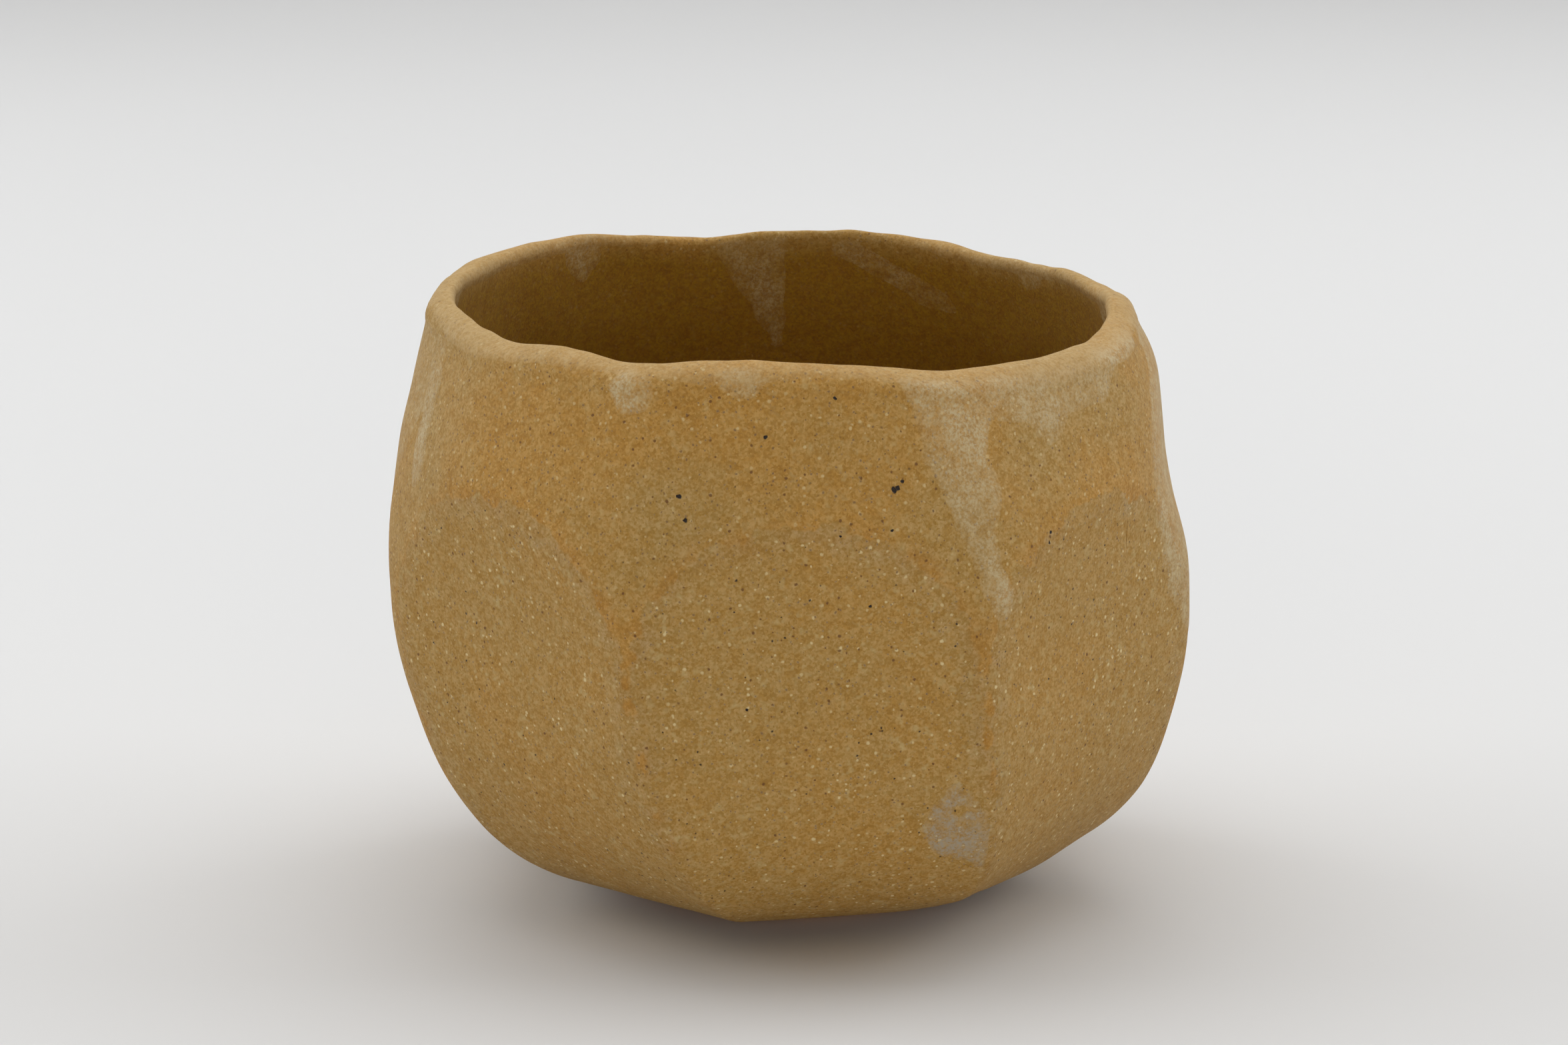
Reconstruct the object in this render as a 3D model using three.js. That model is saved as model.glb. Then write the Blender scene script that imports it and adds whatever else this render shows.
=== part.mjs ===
// A hand-built tea bowl: a knife-cut stoneware wall luted onto a floor slab, a foot ring luted under
// the slab, and a pale glaze over the lip that has run down in tongues.
// Millimetres, +Z up, table at z = 0. Azimuths are degrees from the front (-Y) towards the right (+X).

import * as THREE from "three";

// Outside of the blank, before the knife
const rimHeight = 84.7;
const rimRadius = 50.5;
const bellyHeight = 48.5;
const bellyRadius = 57.2;
const edgeHeight = 3;
const edgeRadius = 32.8;
const lowerBulge = 2.8;
const lowerCorner = 1.55;
const shoulderPower = 1.5;

// Hollow of the blank
const lipThickness = 4.3;
const bellyThickness = 5;
const floorHeight = 11.5;
const floorRadius = 26;
const poolDepth = 1.5;
const hollowBulge = 3;
const hollowCorner = 1.7;

// Lip: a long rounding outside, a short one inside
const lipDrop = 3.4;
const lipTuck = 1.1;

// Luted joints: the slip lies in a groove with a bare margin on each side
const jointRise = 2.5;
const slipThickness = 0.6;
const slipMargin = 2;
const clearance = 0.35;

// Foot ring
const footHeight = 5;
const footRadius = 21;
const footWidth = 6.5;
const footFlare = 0.8;
const footRounding = 0.9;

// Knife flats of the lower tier: all of one depth, closer together at the front
const flatAzimuths = [2.5, 51.5, 103, 155.5, 208, 260.5, 313.5];
const flatDepth = 5.1;
const flatTop = 65;
const flatRun = 23;
const ridgeSoftness = 1;

// Knife flats of the upper tier: depth at the rim, height where they run out, share of the depth of each
const upperDepth = 2.2;
const upperRunOut = 50;
const upperFlats = [
  { azimuth: 0, share: 1 },
  { azimuth: 43, share: 0.8 },
  { azimuth: 84, share: 0.5 },
  { azimuth: 128, share: 0.9 },
  { azimuth: 172, share: 1 },
  { azimuth: 220, share: 0.8 },
  { azimuth: 262, share: 0.5 },
  { azimuth: 294, share: 0.55 },
  { azimuth: 321, share: 0.55 },
];

// Thumb hollow pressed into the right shoulder: half spread up and down in mm, and round in degrees
const thumbAzimuth = 84;
const thumbHeight = 64;
const thumbDepth = 1.4;
const thumbSpread = 10;
const thumbWidth = 24;

// Waves of the lip, as shares of the tallest
const waveHeight = 1.8;
const rimWaves = [
  { count: 1, share: 1, azimuth: -136 },
  { count: 3, share: 0.22, azimuth: -4 },
  { count: 4, share: 0.2, azimuth: -4 },
  { count: 5, share: 0.17, azimuth: 14 },
];

// Twist of the lower body, and sideways lean over the bowl's height
const twist = 10;
const lean = 2.2;

// Glaze over the lip: reach along the surface past the lip's rounding, and runs as shares of the longest
const glazeThickness = 0.4;
const glazeEdge = 0.15;
const glazeReachOutside = 0.8;
const glazeReachInside = 2.1;
const runLengthOutside = 31;
const runsOutside = [
  { azimuth: -22, halfWidth: 6, share: 0.09 },
  { azimuth: -5, halfWidth: 8, share: 0.09 },
  { azimuth: 27, halfWidth: 11, share: 1 },
  { azimuth: 42, halfWidth: 10, share: 0.23 },
  { azimuth: 54, halfWidth: 7, share: 0.13 },
  { azimuth: 72, halfWidth: 7, share: 0.68 },
  { azimuth: 118, halfWidth: 8, share: 0.13 },
  { azimuth: 151, halfWidth: 9, share: 0.39 },
  { azimuth: 189, halfWidth: 7, share: 0.07 },
  { azimuth: 214, halfWidth: 8, share: 0.23 },
  { azimuth: 252, halfWidth: 8, share: 0.1 },
  { azimuth: 288, halfWidth: 7, share: 0.55 },
];
const runLengthInside = 17;
const runsInside = [
  { azimuth: 12, halfWidth: 8, share: 0.65 },
  { azimuth: 60, halfWidth: 7, share: 0.35 },
  { azimuth: 98, halfWidth: 7, share: 0.47 },
  { azimuth: 128, halfWidth: 6, share: 0.19 },
  { azimuth: 153, halfWidth: 12, share: 0.59 },
  { azimuth: 184, halfWidth: 9, share: 1 },
  { azimuth: 220, halfWidth: 8, share: 0.41 },
  { azimuth: 268, halfWidth: 7, share: 0.41 },
  { azimuth: 306, halfWidth: 7, share: 0.3 },
];

// Glaze patch low on the front flat
const spotAzimuth = 22;
const spotHeight = 21.5;
const spotRadius = 4.4;

// Mesh fineness: each flat has the same count of columns, so that each ridge lies along a column
const columnsPerFlat = 10;
const glazeColumnsPerFlat = 14;
const outsideRows = 14;
const insideRows = 10;
const lipRows = 4;
const tuckRows = 2;
const slabRows = 5;
const cornerRows = 3;
const roundingRows = 2;
const glazeRowsOutside = 4;
const glazeRowsInside = 2;
const spotColumns = 18;
const pathRows = 20;

const jointHeight = floorHeight + jointRise;
const coreRadius = footRadius + footFlare + clearance;
const leastFacing = 0.3;
const { clamp, degToRad, lerp, smoothstep } = THREE.MathUtils;

/** Rounded rise from a lower radius to a belly radius, by the share of the drop below the belly. */
function swell(drop, lowRadius, fullRadius, bulge, corner) {
  return lerp(lowRadius, fullRadius, (1 - clamp(drop, 0, 1) ** bulge) ** (1 / corner));
}

/** Outer radius of the blank at a height. */
function blankRadius(z) {
  const drop = (bellyHeight - z) / (bellyHeight - edgeHeight);
  if (drop > 0) return swell(drop, edgeRadius, bellyRadius, lowerBulge, lowerCorner);
  const rise = (z - bellyHeight) / (rimHeight - bellyHeight);
  return lerp(bellyRadius, rimRadius, rise ** shoulderPower);
}

/** Inner radius of the blank at a height. */
function hollowRadius(z) {
  const drop = (bellyHeight - z) / (bellyHeight - floorHeight);
  const fullRadius = bellyRadius - bellyThickness;
  if (drop > 0) return swell(drop, floorRadius, fullRadius, hollowBulge, hollowCorner);
  const rise = (z - bellyHeight) / (rimHeight - bellyHeight);
  return lerp(fullRadius, rimRadius - lipThickness, rise ** shoulderPower);
}

/** Signed angle from one azimuth to another, within half a turn. */
function turnBetween(from, to) {
  return THREE.MathUtils.euclideanModulo(to - from + 180, 360) - 180;
}

/** Outer radius after knife and thumb: a soft minimum of the blank and the flats, less the thumb hollow. */
function carvedRadius(azimuth, z) {
  const blank = blankRadius(z);
  const radii = [blank];
  const cut = (centre, depth) => {
    const facing = Math.cos(degToRad(azimuth - centre));
    if (facing > leastFacing) radii.push((blank - depth) / facing);
  };
  const lowerShare = 1 - (1 - Math.min((flatTop - z) / flatRun, 1)) ** 2;
  for (const centre of flatAzimuths) cut(centre, flatDepth * lowerShare);
  const upperShare = (z - upperRunOut) / (rimHeight - upperRunOut);
  for (const flat of upperFlats) cut(flat.azimuth, upperDepth * flat.share * upperShare);
  const least = Math.min(...radii);
  const weights = radii.map((radius) => Math.exp((least - radius) / ridgeSoftness));
  const cutRadius = least - ridgeSoftness * Math.log(weights.reduce((sum, weight) => sum + weight));
  const aside = turnBetween(thumbAzimuth, azimuth) / thumbWidth;
  const above = (z - thumbHeight) / thumbSpread;
  return cutRadius - thumbDepth * Math.exp(-(aside ** 2) - above ** 2);
}

/** How far the waves lift the lip at an azimuth. */
function rimLift(azimuth) {
  let lift = 0;
  for (const wave of rimWaves) {
    lift += waveHeight * wave.share * Math.cos(degToRad(wave.count * (azimuth - wave.azimuth)));
  }
  return lift;
}

/** Where hand shaping brings a point of the blank: carved outside the core, waved, twisted and leant. */
function shaped(radius, azimuth, z) {
  const blank = blankRadius(z);
  const squeeze = (carvedRadius(azimuth, z) - coreRadius) / (blank - coreRadius);
  const r = radius > coreRadius ? coreRadius + (radius - coreRadius) * squeeze : radius;
  const turn = degToRad(azimuth + twist * clamp(1 - z / bellyHeight, 0, 1) ** 2);
  const lift = rimLift(azimuth) * smoothstep(z, bellyHeight, rimHeight);
  const shift = (lean * (bellyHeight - z)) / rimHeight;
  return new THREE.Vector3(r * Math.sin(turn) + shift, -r * Math.cos(turn), z + lift);
}

/** Azimuths of the columns, spaced evenly across each flat from the ridge before it to the next ridge. */
function columnAzimuths(perFlat) {
  const ridgeAfter = flatAzimuths.map((centre, i) => {
    const next = flatAzimuths[(i + 1) % flatAzimuths.length];
    return centre + THREE.MathUtils.euclideanModulo(next - centre, 360) / 2;
  });
  return flatAzimuths.flatMap((centre, i) => {
    const start = ridgeAfter.at(i - 1);
    const width = THREE.MathUtils.euclideanModulo(ridgeAfter[i] - start, 360);
    return Array.from({ length: perFlat }, (_, k) => start + (width * k) / perFlat);
  });
}

/** Closed ring round the bowl; sectionAt gives the blank's section at an azimuth, anticlockwise. */
function loft(sectionAt, perFlat = columnsPerFlat) {
  const azimuths = columnAzimuths(perFlat);
  const size = sectionAt(0).length;
  const geometry = new THREE.LatheGeometry(sectionAt(0), azimuths.length);
  const position = geometry.attributes.position;
  for (let column = 0; column <= azimuths.length; column++) {
    const azimuth = azimuths[column % azimuths.length];
    sectionAt(azimuth).forEach((point, k) => {
      const place = shaped(point.x, azimuth, point.y);
      position.setXYZ(column * size + k, place.x, place.y, place.z);
    });
  }
  geometry.computeVertexNormals();
  return geometry;
}

/** Points of a section from one height to another, closer together towards the first by the power. */
function sweep(radiusAt, from, to, steps, power) {
  const points = [];
  for (let i = 0; i <= steps; i++) {
    const z = lerp(from, to, (i / steps) ** power);
    points.push(new THREE.Vector2(radiusAt(z), z));
  }
  return points;
}

/** Quarter of an ellipse from the angle start to a quarter turn further on, in degrees. */
function quarter(centreR, centreZ, radiusR, radiusZ, start) {
  return new THREE.EllipseCurve(centreR, centreZ, radiusR, radiusZ, degToRad(start), degToRad(start + 90));
}

const crestRadius = hollowRadius(rimHeight) + lipTuck;
const lipBase = rimHeight - lipDrop;
const tuckBase = rimHeight - lipTuck;

/** Lip from the outside up to the crest, and from the crest down to the hollow. */
const lipOutside = quarter(crestRadius, lipBase, blankRadius(lipBase) - crestRadius, lipDrop, 0);
const lipInside = quarter(crestRadius, tuckBase, crestRadius - hollowRadius(tuckBase), lipTuck, 90);

/** Wall from the joint up the outside, over the lip and down the inside. */
function wallSection() {
  const outside = sweep(blankRadius, jointHeight, lipBase, outsideRows, 1);
  const inside = sweep(hollowRadius, jointHeight, tuckBase, insideRows, 1.2).reverse();
  const lip = [...lipOutside.getPoints(lipRows).slice(1), ...lipInside.getPoints(tuckRows).slice(1)];
  return [...outside, ...lip, ...inside.slice(1), outside[0]];
}

/** Radii of the groove for the slip between the wall and the floor. */
const jointGroove = {
  inner: hollowRadius(jointHeight) + slipMargin,
  outer: blankRadius(jointHeight) - slipMargin,
};

/** Radii of the groove for the slip between the foot and the floor. */
const footGroove = {
  inner: footRadius - footWidth + slipMargin,
  outer: footRadius - slipMargin,
};

/** Groove walls and bed as seen by the floor slab, from the first radius to the second. */
function groovePoints(from, to, face, bed) {
  return [
    new THREE.Vector2(from, face),
    new THREE.Vector2(from, bed),
    new THREE.Vector2(to, bed),
    new THREE.Vector2(to, face),
  ];
}

/** Floor slab from the axis out along the underside, up the flats, in over the joint and the pool. */
function floorSection() {
  const poolHeight = (r) => floorHeight - (poolDepth * (1 + Math.cos((Math.PI * r) / floorRadius))) / 2;
  const pool = [0.75, 0.5, 0.25, 0].map((share) => share * floorRadius);
  return [
    new THREE.Vector2(0, footHeight),
    ...groovePoints(footGroove.inner, footGroove.outer, footHeight, footHeight + slipThickness),
    new THREE.Vector2(coreRadius, footHeight),
    ...sweep(blankRadius, edgeHeight, jointHeight, slabRows, 2),
    ...groovePoints(jointGroove.outer, jointGroove.inner, jointHeight, jointHeight - slipThickness),
    ...sweep(hollowRadius, floorHeight, jointHeight, cornerRows, 2).reverse(),
    ...pool.map((r) => new THREE.Vector2(r, poolHeight(r))),
  ];
}

/** Slip that fills a groove between two heights, clear of the groove's walls. */
function slipSection(groove, low, high) {
  const inner = groove.inner + clearance;
  const outer = groove.outer - clearance;
  return [
    new THREE.Vector2(outer, low),
    new THREE.Vector2(outer, high),
    new THREE.Vector2(inner, high),
    new THREE.Vector2(inner, low),
    new THREE.Vector2(outer, low),
  ];
}

/** Foot ring with a flat rest, rounded edges and sides that flare towards the floor. */
function footSection() {
  const inner = footRadius - footWidth;
  const start = new THREE.Vector2(footRadius - footRounding, 0);
  return [
    start,
    ...quarter(start.x, footRounding, footRounding, footRounding, 270).getPoints(roundingRows).slice(1),
    new THREE.Vector2(footRadius + footFlare, footHeight),
    new THREE.Vector2(inner - footFlare, footHeight),
    ...quarter(inner + footRounding, footRounding, footRounding, footRounding, 180).getPoints(roundingRows),
    start,
  ];
}

/** How far along the surface the glaze reaches past the lip's rounding at an azimuth. */
function glazeReach(azimuth, least, longest, runs) {
  const reaches = runs.map((run) => {
    const aside = clamp(turnBetween(run.azimuth, azimuth) / run.halfWidth, -1, 1);
    return lerp(least, longest * run.share, Math.cos((Math.PI / 2) * aside) ** 2);
  });
  return Math.max(least, ...reaches);
}

/** Path that the glaze follows: up the outside, over the lip and down the inside. */
const glazePath = new THREE.CurvePath();
glazePath.add(new THREE.SplineCurve(sweep(blankRadius, jointHeight, lipBase, pathRows, 1)));
glazePath.add(lipOutside);
glazePath.add(lipInside);
glazePath.add(new THREE.SplineCurve(sweep(hollowRadius, tuckBase, jointHeight, pathRows, 1)));
const crestDistance = glazePath.curves[0].getLength() + lipOutside.getLength();

/** Point of the glaze at a distance inwards from the crest, raised off the clay. */
function glazePoint(distance, raise) {
  const share = (crestDistance + distance) / glazePath.getLength();
  const tangent = glazePath.getTangentAt(share);
  const outwards = new THREE.Vector2(tangent.y, -tangent.x);
  return glazePath.getPointAt(share).addScaledVector(outwards, raise);
}

/** Distances from the crest at which the glaze has rows: three round the lip, then steps down to its end. */
function glazeRows(lip, reach, steps) {
  const bend = lip.getLength();
  const rows = [bend / 3, (2 * bend) / 3, bend];
  for (let i = 1; i <= steps; i++) rows.push(bend + (reach * i) / steps);
  return rows;
}

/** Section of the glaze film: its upper face from outside to inside, then its lower face back. */
function glazeSection(azimuth) {
  const outerReach = glazeReach(azimuth, glazeReachOutside, runLengthOutside, runsOutside);
  const innerReach = glazeReach(azimuth, glazeReachInside, runLengthInside, runsInside);
  const outside = glazeRows(lipOutside, outerReach, glazeRowsOutside).map((row) => -row);
  const inside = glazeRows(lipInside, innerReach, glazeRowsInside);
  const rows = [...outside.reverse(), 0, ...inside];
  const thickness = (k) => (k === 0 || k === rows.length - 1 ? glazeEdge : glazeThickness);
  const upper = rows.map((row, k) => glazePoint(row, clearance + thickness(k)));
  const lower = rows.map((row) => glazePoint(row, clearance));
  return [...upper, ...lower.reverse(), upper[0]];
}

/** Thin round patch of glaze laid on the carved outside at an azimuth and a height. */
function spotGeometry() {
  const lens = [
    new THREE.Vector2(0, clearance),
    new THREE.Vector2(spotRadius / 2, clearance),
    new THREE.Vector2(spotRadius, clearance),
    new THREE.Vector2(spotRadius, clearance + glazeEdge),
    new THREE.Vector2(spotRadius * 0.8, clearance + glazeThickness),
    new THREE.Vector2(spotRadius / 2, clearance + glazeThickness),
    new THREE.Vector2(0, clearance + glazeThickness),
  ];
  const geometry = new THREE.LatheGeometry(lens, spotColumns);
  const position = geometry.attributes.position;
  const degreesPerLength = THREE.MathUtils.radToDeg(1 / carvedRadius(spotAzimuth, spotHeight));
  const surface = (across, up) => {
    const z = spotHeight + up;
    return shaped(blankRadius(z), spotAzimuth + across * degreesPerLength, z);
  };
  const step = 0.05;
  for (let i = 0; i < position.count; i++) {
    const across = position.getX(i);
    const up = -position.getZ(i);
    const place = surface(across, up);
    const alongAcross = surface(across + step, up).sub(place);
    const alongUp = surface(across, up + step).sub(place);
    const normal = alongAcross.cross(alongUp).normalize();
    place.addScaledVector(normal, position.getY(i));
    position.setXYZ(i, place.x, place.y, place.z);
  }
  geometry.computeVertexNormals();
  return geometry;
}

/** Named piece with a material of its own. */
function piece(name, geometry, color, roughness) {
  const material = new THREE.MeshStandardMaterial({ color, roughness, metalness: 0 });
  const mesh = new THREE.Mesh(geometry, material);
  mesh.name = name;
  return mesh;
}

const slipLow = jointHeight - slipThickness;
const footSlipHigh = footHeight + slipThickness;
const bowl = new THREE.Group();
bowl.name = "tea_bowl";
bowl.add(
  piece("bowl_wall", loft(wallSection), "#91713e", 0.8),
  piece("bowl_floor", loft(floorSection), "#8f6f3d", 0.8),
  piece("floor_slip", loft(() => slipSection(jointGroove, slipLow, jointHeight)), "#a08458", 0.9),
  piece("foot_ring", loft(footSection), "#8a6a40", 0.9),
  piece("foot_slip", loft(() => slipSection(footGroove, footHeight, footSlipHigh)), "#a08458", 0.9),
  piece("rim_glaze", loft(glazeSection, glazeColumnsPerFlat), "#b5986b", 0.5),
  piece("glaze_spot", spotGeometry(), "#b3a094", 0.6),
);

// The origin is the middle of the bowl's plan
const plan = new THREE.Box3().setFromObject(bowl);
bowl.position.set(-(plan.min.x + plan.max.x) / 2, -(plan.min.y + plan.max.y) / 2, 0);

export default bowl;
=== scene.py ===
"""Knife-cut tea bowl in ochre stoneware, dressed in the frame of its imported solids.

Forms are in millimetres and degrees; meshes, shaders and the studio are in metres. Azimuths run from the
front (-Y) towards the right (+X). Every clay piece and every film of glaze is taken from one form, so they
meet without a seam.
"""

import logging
import math
from dataclasses import dataclass, field
from enum import Enum
from functools import cached_property, reduce
from typing import Sequence

import bpy
import numpy as np
from mathutils import Euler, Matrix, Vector


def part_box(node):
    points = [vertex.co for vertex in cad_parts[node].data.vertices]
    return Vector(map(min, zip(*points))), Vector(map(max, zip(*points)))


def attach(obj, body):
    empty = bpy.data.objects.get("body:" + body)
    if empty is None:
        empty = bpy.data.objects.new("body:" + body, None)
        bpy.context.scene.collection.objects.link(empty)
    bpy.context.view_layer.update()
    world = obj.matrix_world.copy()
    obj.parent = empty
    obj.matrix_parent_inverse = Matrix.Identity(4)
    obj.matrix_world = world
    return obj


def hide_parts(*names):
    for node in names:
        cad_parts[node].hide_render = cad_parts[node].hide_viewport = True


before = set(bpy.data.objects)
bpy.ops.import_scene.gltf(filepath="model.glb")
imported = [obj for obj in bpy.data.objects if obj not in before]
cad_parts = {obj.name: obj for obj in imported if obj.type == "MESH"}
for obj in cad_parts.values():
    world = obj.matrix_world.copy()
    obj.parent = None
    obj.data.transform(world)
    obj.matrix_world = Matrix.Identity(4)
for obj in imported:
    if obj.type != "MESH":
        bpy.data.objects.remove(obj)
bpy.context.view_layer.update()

Array = np.ndarray
Number = Array | float
Pair = tuple[float, float]
Triple = tuple[float, float, float]
Quad = tuple[float, float, float, float]
NoiseKind = tuple[float, float, int]
Socket = bpy.types.NodeSocket
Value = Socket | float | Sequence[float]

MM = 0.001
# Factors and shifts of the hash behind the lattice noise.
HASH_AXES = np.array([374761393, 668265263, 1274126177])
HASH_SEED = 362437
HASH_ROUNDS = ((13, 1103515245), (16, 668265263))
HASH_LAST = 15
WORD = 0xFFFFFFFF
# Ranges of a noise's value between which a ramp runs.
WIDE: Pair = (0.3, 0.7)
MIDDLE: Pair = (0.34, 0.66)
TIGHT: Pair = (0.35, 0.65)
CLAY_ATTRIBUTES = ("flat", "arch", "inside", "bare")
# Angle in degrees past which an edge of a film is shaded as sharp.
FILM_SHARP = 75.0
# Least radius of a speck against its largest, and the share of a speck's radius that is solid.
LEAST_SPECK = 0.55
SPECK_CORE = 0.45
# Specular level of clay and glaze.
SHINE = 0.5
# Tints of the lamps and the sky.
COOL: Triple = (0.97, 0.985, 1.0)
WARM: Triple = (1.0, 0.93, 0.82)
LOG = logging.getLogger("tea_bowl")


def lerp(start: Number, end: Number, share: Number) -> Number:
    """Straight blend from start to end by a share."""
    return start + (end - start) * share


def smoothstep(low: float, high: float, value: Array) -> Array:
    """Smooth rise from 0 at low to 1 at high."""
    share = np.clip((value - low) / (high - low), 0.0, 1.0)
    return share * share * (3.0 - 2.0 * share)


def steps(count: int) -> Array:
    """Even shares from 0 up to just short of 1, as a column."""
    return np.linspace(0.0, 1.0, count, endpoint=False)[:, None]


def turn_between(start: Number, end: Number) -> Array:
    """Signed angle from one azimuth to another, within half a turn."""
    return (np.asarray(end) - start + 180.0) % 360.0 - 180.0


def ring_points(radius: Array, azimuth: Array, z: Array) -> Array:
    """Positions, with the axes last, of points given by radius, azimuth and height."""
    turn = np.radians(azimuth)
    return np.stack(np.broadcast_arrays(radius * np.sin(turn), -radius * np.cos(turn), z), axis=-1)


def lattice_noise(points: Array, cell: float, seed: int) -> Array:
    """Smooth noise from -1 to 1: hashed values on a cubic lattice, blended with a smoothstep in each axis.

    Args:
        points: Positions in millimetres, with the axes last.
        cell: Spacing of the lattice in millimetres.
        seed: Picks one of many such fields.

    Returns:
        The noise at each position.
    """
    scaled = points / cell
    corner = np.floor(scaled).astype(np.int64)
    share = scaled - corner
    share = share * share * (3.0 - 2.0 * share)
    total = np.zeros(points.shape[:-1])
    for step in np.ndindex(2, 2, 2):
        mixed = ((corner + np.array(step)) @ HASH_AXES + seed * HASH_SEED) & WORD
        for shift, factor in HASH_ROUNDS:
            mixed = ((mixed ^ (mixed >> shift)) * factor) & WORD
        value = (mixed ^ (mixed >> HASH_LAST)) / (WORD >> 1) - 1.0
        total += value * np.prod(np.where(step, share, 1.0 - share), axis=-1)
    return total


def summed_noise(points: Array, kinds: Sequence[NoiseKind]) -> Array:
    """Sum of lattice noises, each with its height, cell and seed."""
    return sum(height * lattice_noise(points, cell, seed) for height, cell, seed in kinds)


@dataclass(frozen=True)
class Form:
    """Hand-shaped form of the bowl: a turned blank, cut by the knife, pressed, waved, twisted and leant."""

    rim_height: float = 84.7
    rim_radius: float = 50.5
    belly_height: float = 48.5
    belly_radius: float = 57.2
    edge_height: float = 3.0
    edge_radius: float = 32.8
    lower_bulge: float = 2.8
    lower_corner: float = 1.55
    shoulder_power: float = 1.5
    lip_thickness: float = 4.3
    belly_thickness: float = 5.0
    floor_height: float = 11.5
    floor_radius: float = 26.0
    pool_depth: float = 1.5
    hollow_bulge: float = 3.0
    hollow_corner: float = 1.7
    lip_drop: float = 3.4
    lip_tuck: float = 1.1
    joint_height: float = 14.0
    slip_thickness: float = 0.6
    slip_margin: float = 2.0
    foot_height: float = 5.0
    foot_radius: float = 21.0
    foot_width: float = 6.5
    foot_flare: float = 0.8
    foot_rounding: float = 0.9
    core_radius: float = 22.15
    flat_azimuths: tuple[float, ...] = (2.5, 51.5, 103.0, 155.5, 208.0, 260.5, 313.5)
    flat_depth: float = 5.1
    flat_top: float = 65.0
    flat_run: float = 23.0
    least_facing: float = 0.3
    uncut: float = 1e3
    upper_softness: float = 1.0
    upper_fade: float = 8.0
    ridge_softness: float = 0.45
    low_softness: float = 0.15
    soft_height: float = 26.0
    mask_softness: float = 0.4
    arch_reach: float = 6.0
    upper_depth: float = 2.2
    upper_run_out: float = 50.0
    upper_flats: tuple[Pair, ...] = (
        (0, 1.0), (43, 0.8), (84, 0.5), (128, 0.9), (172, 1.0),
        (220, 0.8), (262, 0.5), (294, 0.55), (321, 0.55),
    )
    thumb_azimuth: float = 84.0
    thumb_height: float = 64.0
    thumb_depth: float = 1.4
    thumb_spread: float = 10.0
    thumb_width: float = 24.0
    waves: tuple[Triple, ...] = ((1, 1.8, -136), (3, 0.4, -4), (4, 0.36, -4), (5, 0.31, 14))
    bumps: tuple[Pair, ...] = (
        (-50, -0.5), (-38, 0.45), (-25, -0.43), (-8, 0.3), (27, -0.4), (45, 0.2), (104, -0.5), (118, 0.4),
        (140, -0.35), (168, 0.55), (195, -0.67), (218, 0.5), (240, -0.48), (252, -0.5),
    )
    bump_width: float = 7.0
    twist: float = 10.0
    lean: float = 2.2
    inner_facets: float = 0.3
    least_wall: float = 1.0
    mean_rows: int = 180
    mean_step: float = 3.0

    def turned(self, z: Array, foot: float, radii: Triple, bulge: float, corner: float) -> Array:
        """Radius of a turned wall: a superellipse from foot to belly, then a power curve up to the rim.

        Args:
            z: Heights.
            foot: Height of the wall's foot.
            radii: Radii at the foot, the belly and the rim.
            bulge: Power of the superellipse by height.
            corner: Power of the superellipse by radius.

        Returns:
            The radius at each height.
        """
        low, full, rim = radii
        drop = np.clip((self.belly_height - z) / (self.belly_height - foot), 0.0, 1.0)
        rise = np.clip((z - self.belly_height) / (self.rim_height - self.belly_height), 0.0, None)
        lower = lerp(low, full, (1 - drop**bulge) ** (1 / corner))
        return np.where(z < self.belly_height, lower, lerp(full, rim, rise**self.shoulder_power))

    def blank_radius(self, z: Array) -> Array:
        """Outer radius of the blank at each height."""
        radii = (self.edge_radius, self.belly_radius, self.rim_radius)
        return self.turned(z, self.edge_height, radii, self.lower_bulge, self.lower_corner)

    def hollow_radius(self, z: Array) -> Array:
        """Inner radius of the blank at each height."""
        full, rim = self.belly_radius - self.belly_thickness, self.rim_radius - self.lip_thickness
        return self.turned(
            z, self.floor_height, (self.floor_radius, full, rim), self.hollow_bulge, self.hollow_corner,
        )

    def cut_radii(self, azimuth: Array, z: Array) -> Array:
        """Radii of the blank and the knife planes, where a plane's is its distance over the cosine aside.

        Args:
            azimuth: Azimuths of the points.
            z: Heights of the points.

        Returns:
            One layer for the blank, then one for each lower flat, then one for each upper flat.
        """
        blank = self.blank_radius(z)
        lower = self.flat_depth * (1 - (1 - np.minimum((self.flat_top - z) / self.flat_run, 1.0)) ** 2)
        upper = self.upper_depth * (z - self.upper_run_out) / (self.rim_height - self.upper_run_out)
        cuts = [(centre, lower) for centre in self.flat_azimuths]
        cuts += [(centre, upper * share) for centre, share in self.upper_flats]
        layers = [blank + 0.0 * azimuth]
        for centre, depth in cuts:
            facing = np.cos(np.radians(azimuth - centre))
            plane = (blank - depth) / np.maximum(facing, self.least_facing)
            layers.append(np.where(facing > self.least_facing, plane, self.uncut))
        return np.stack(np.broadcast_arrays(*layers))

    def carved_radius(self, azimuth: Array, z: Array) -> Array:
        """Outer radius after knife and thumb: a soft minimum of all cuts, less a Gaussian thumb hollow.

        The soft minimum is crisper on the lower flats, and most so near the foot.

        Args:
            azimuth: Azimuths of the points.
            z: Heights of the points.

        Returns:
            The radius at each point.
        """
        radii = self.cut_radii(azimuth, z)
        least = radii.min(axis=0)
        soft = lerp(self.low_softness, self.ridge_softness, smoothstep(self.edge_height, self.soft_height, z))
        upper = smoothstep(self.flat_top, self.flat_top + self.upper_fade, z)
        soft = lerp(soft, self.upper_softness, upper)
        total = np.exp((least - radii) / soft).sum(axis=0)
        aside = turn_between(self.thumb_azimuth, azimuth) / self.thumb_width
        above = (z - self.thumb_height) / self.thumb_spread
        return least - soft * np.log(total) - self.thumb_depth * np.exp(-(aside**2) - above**2)

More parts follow.
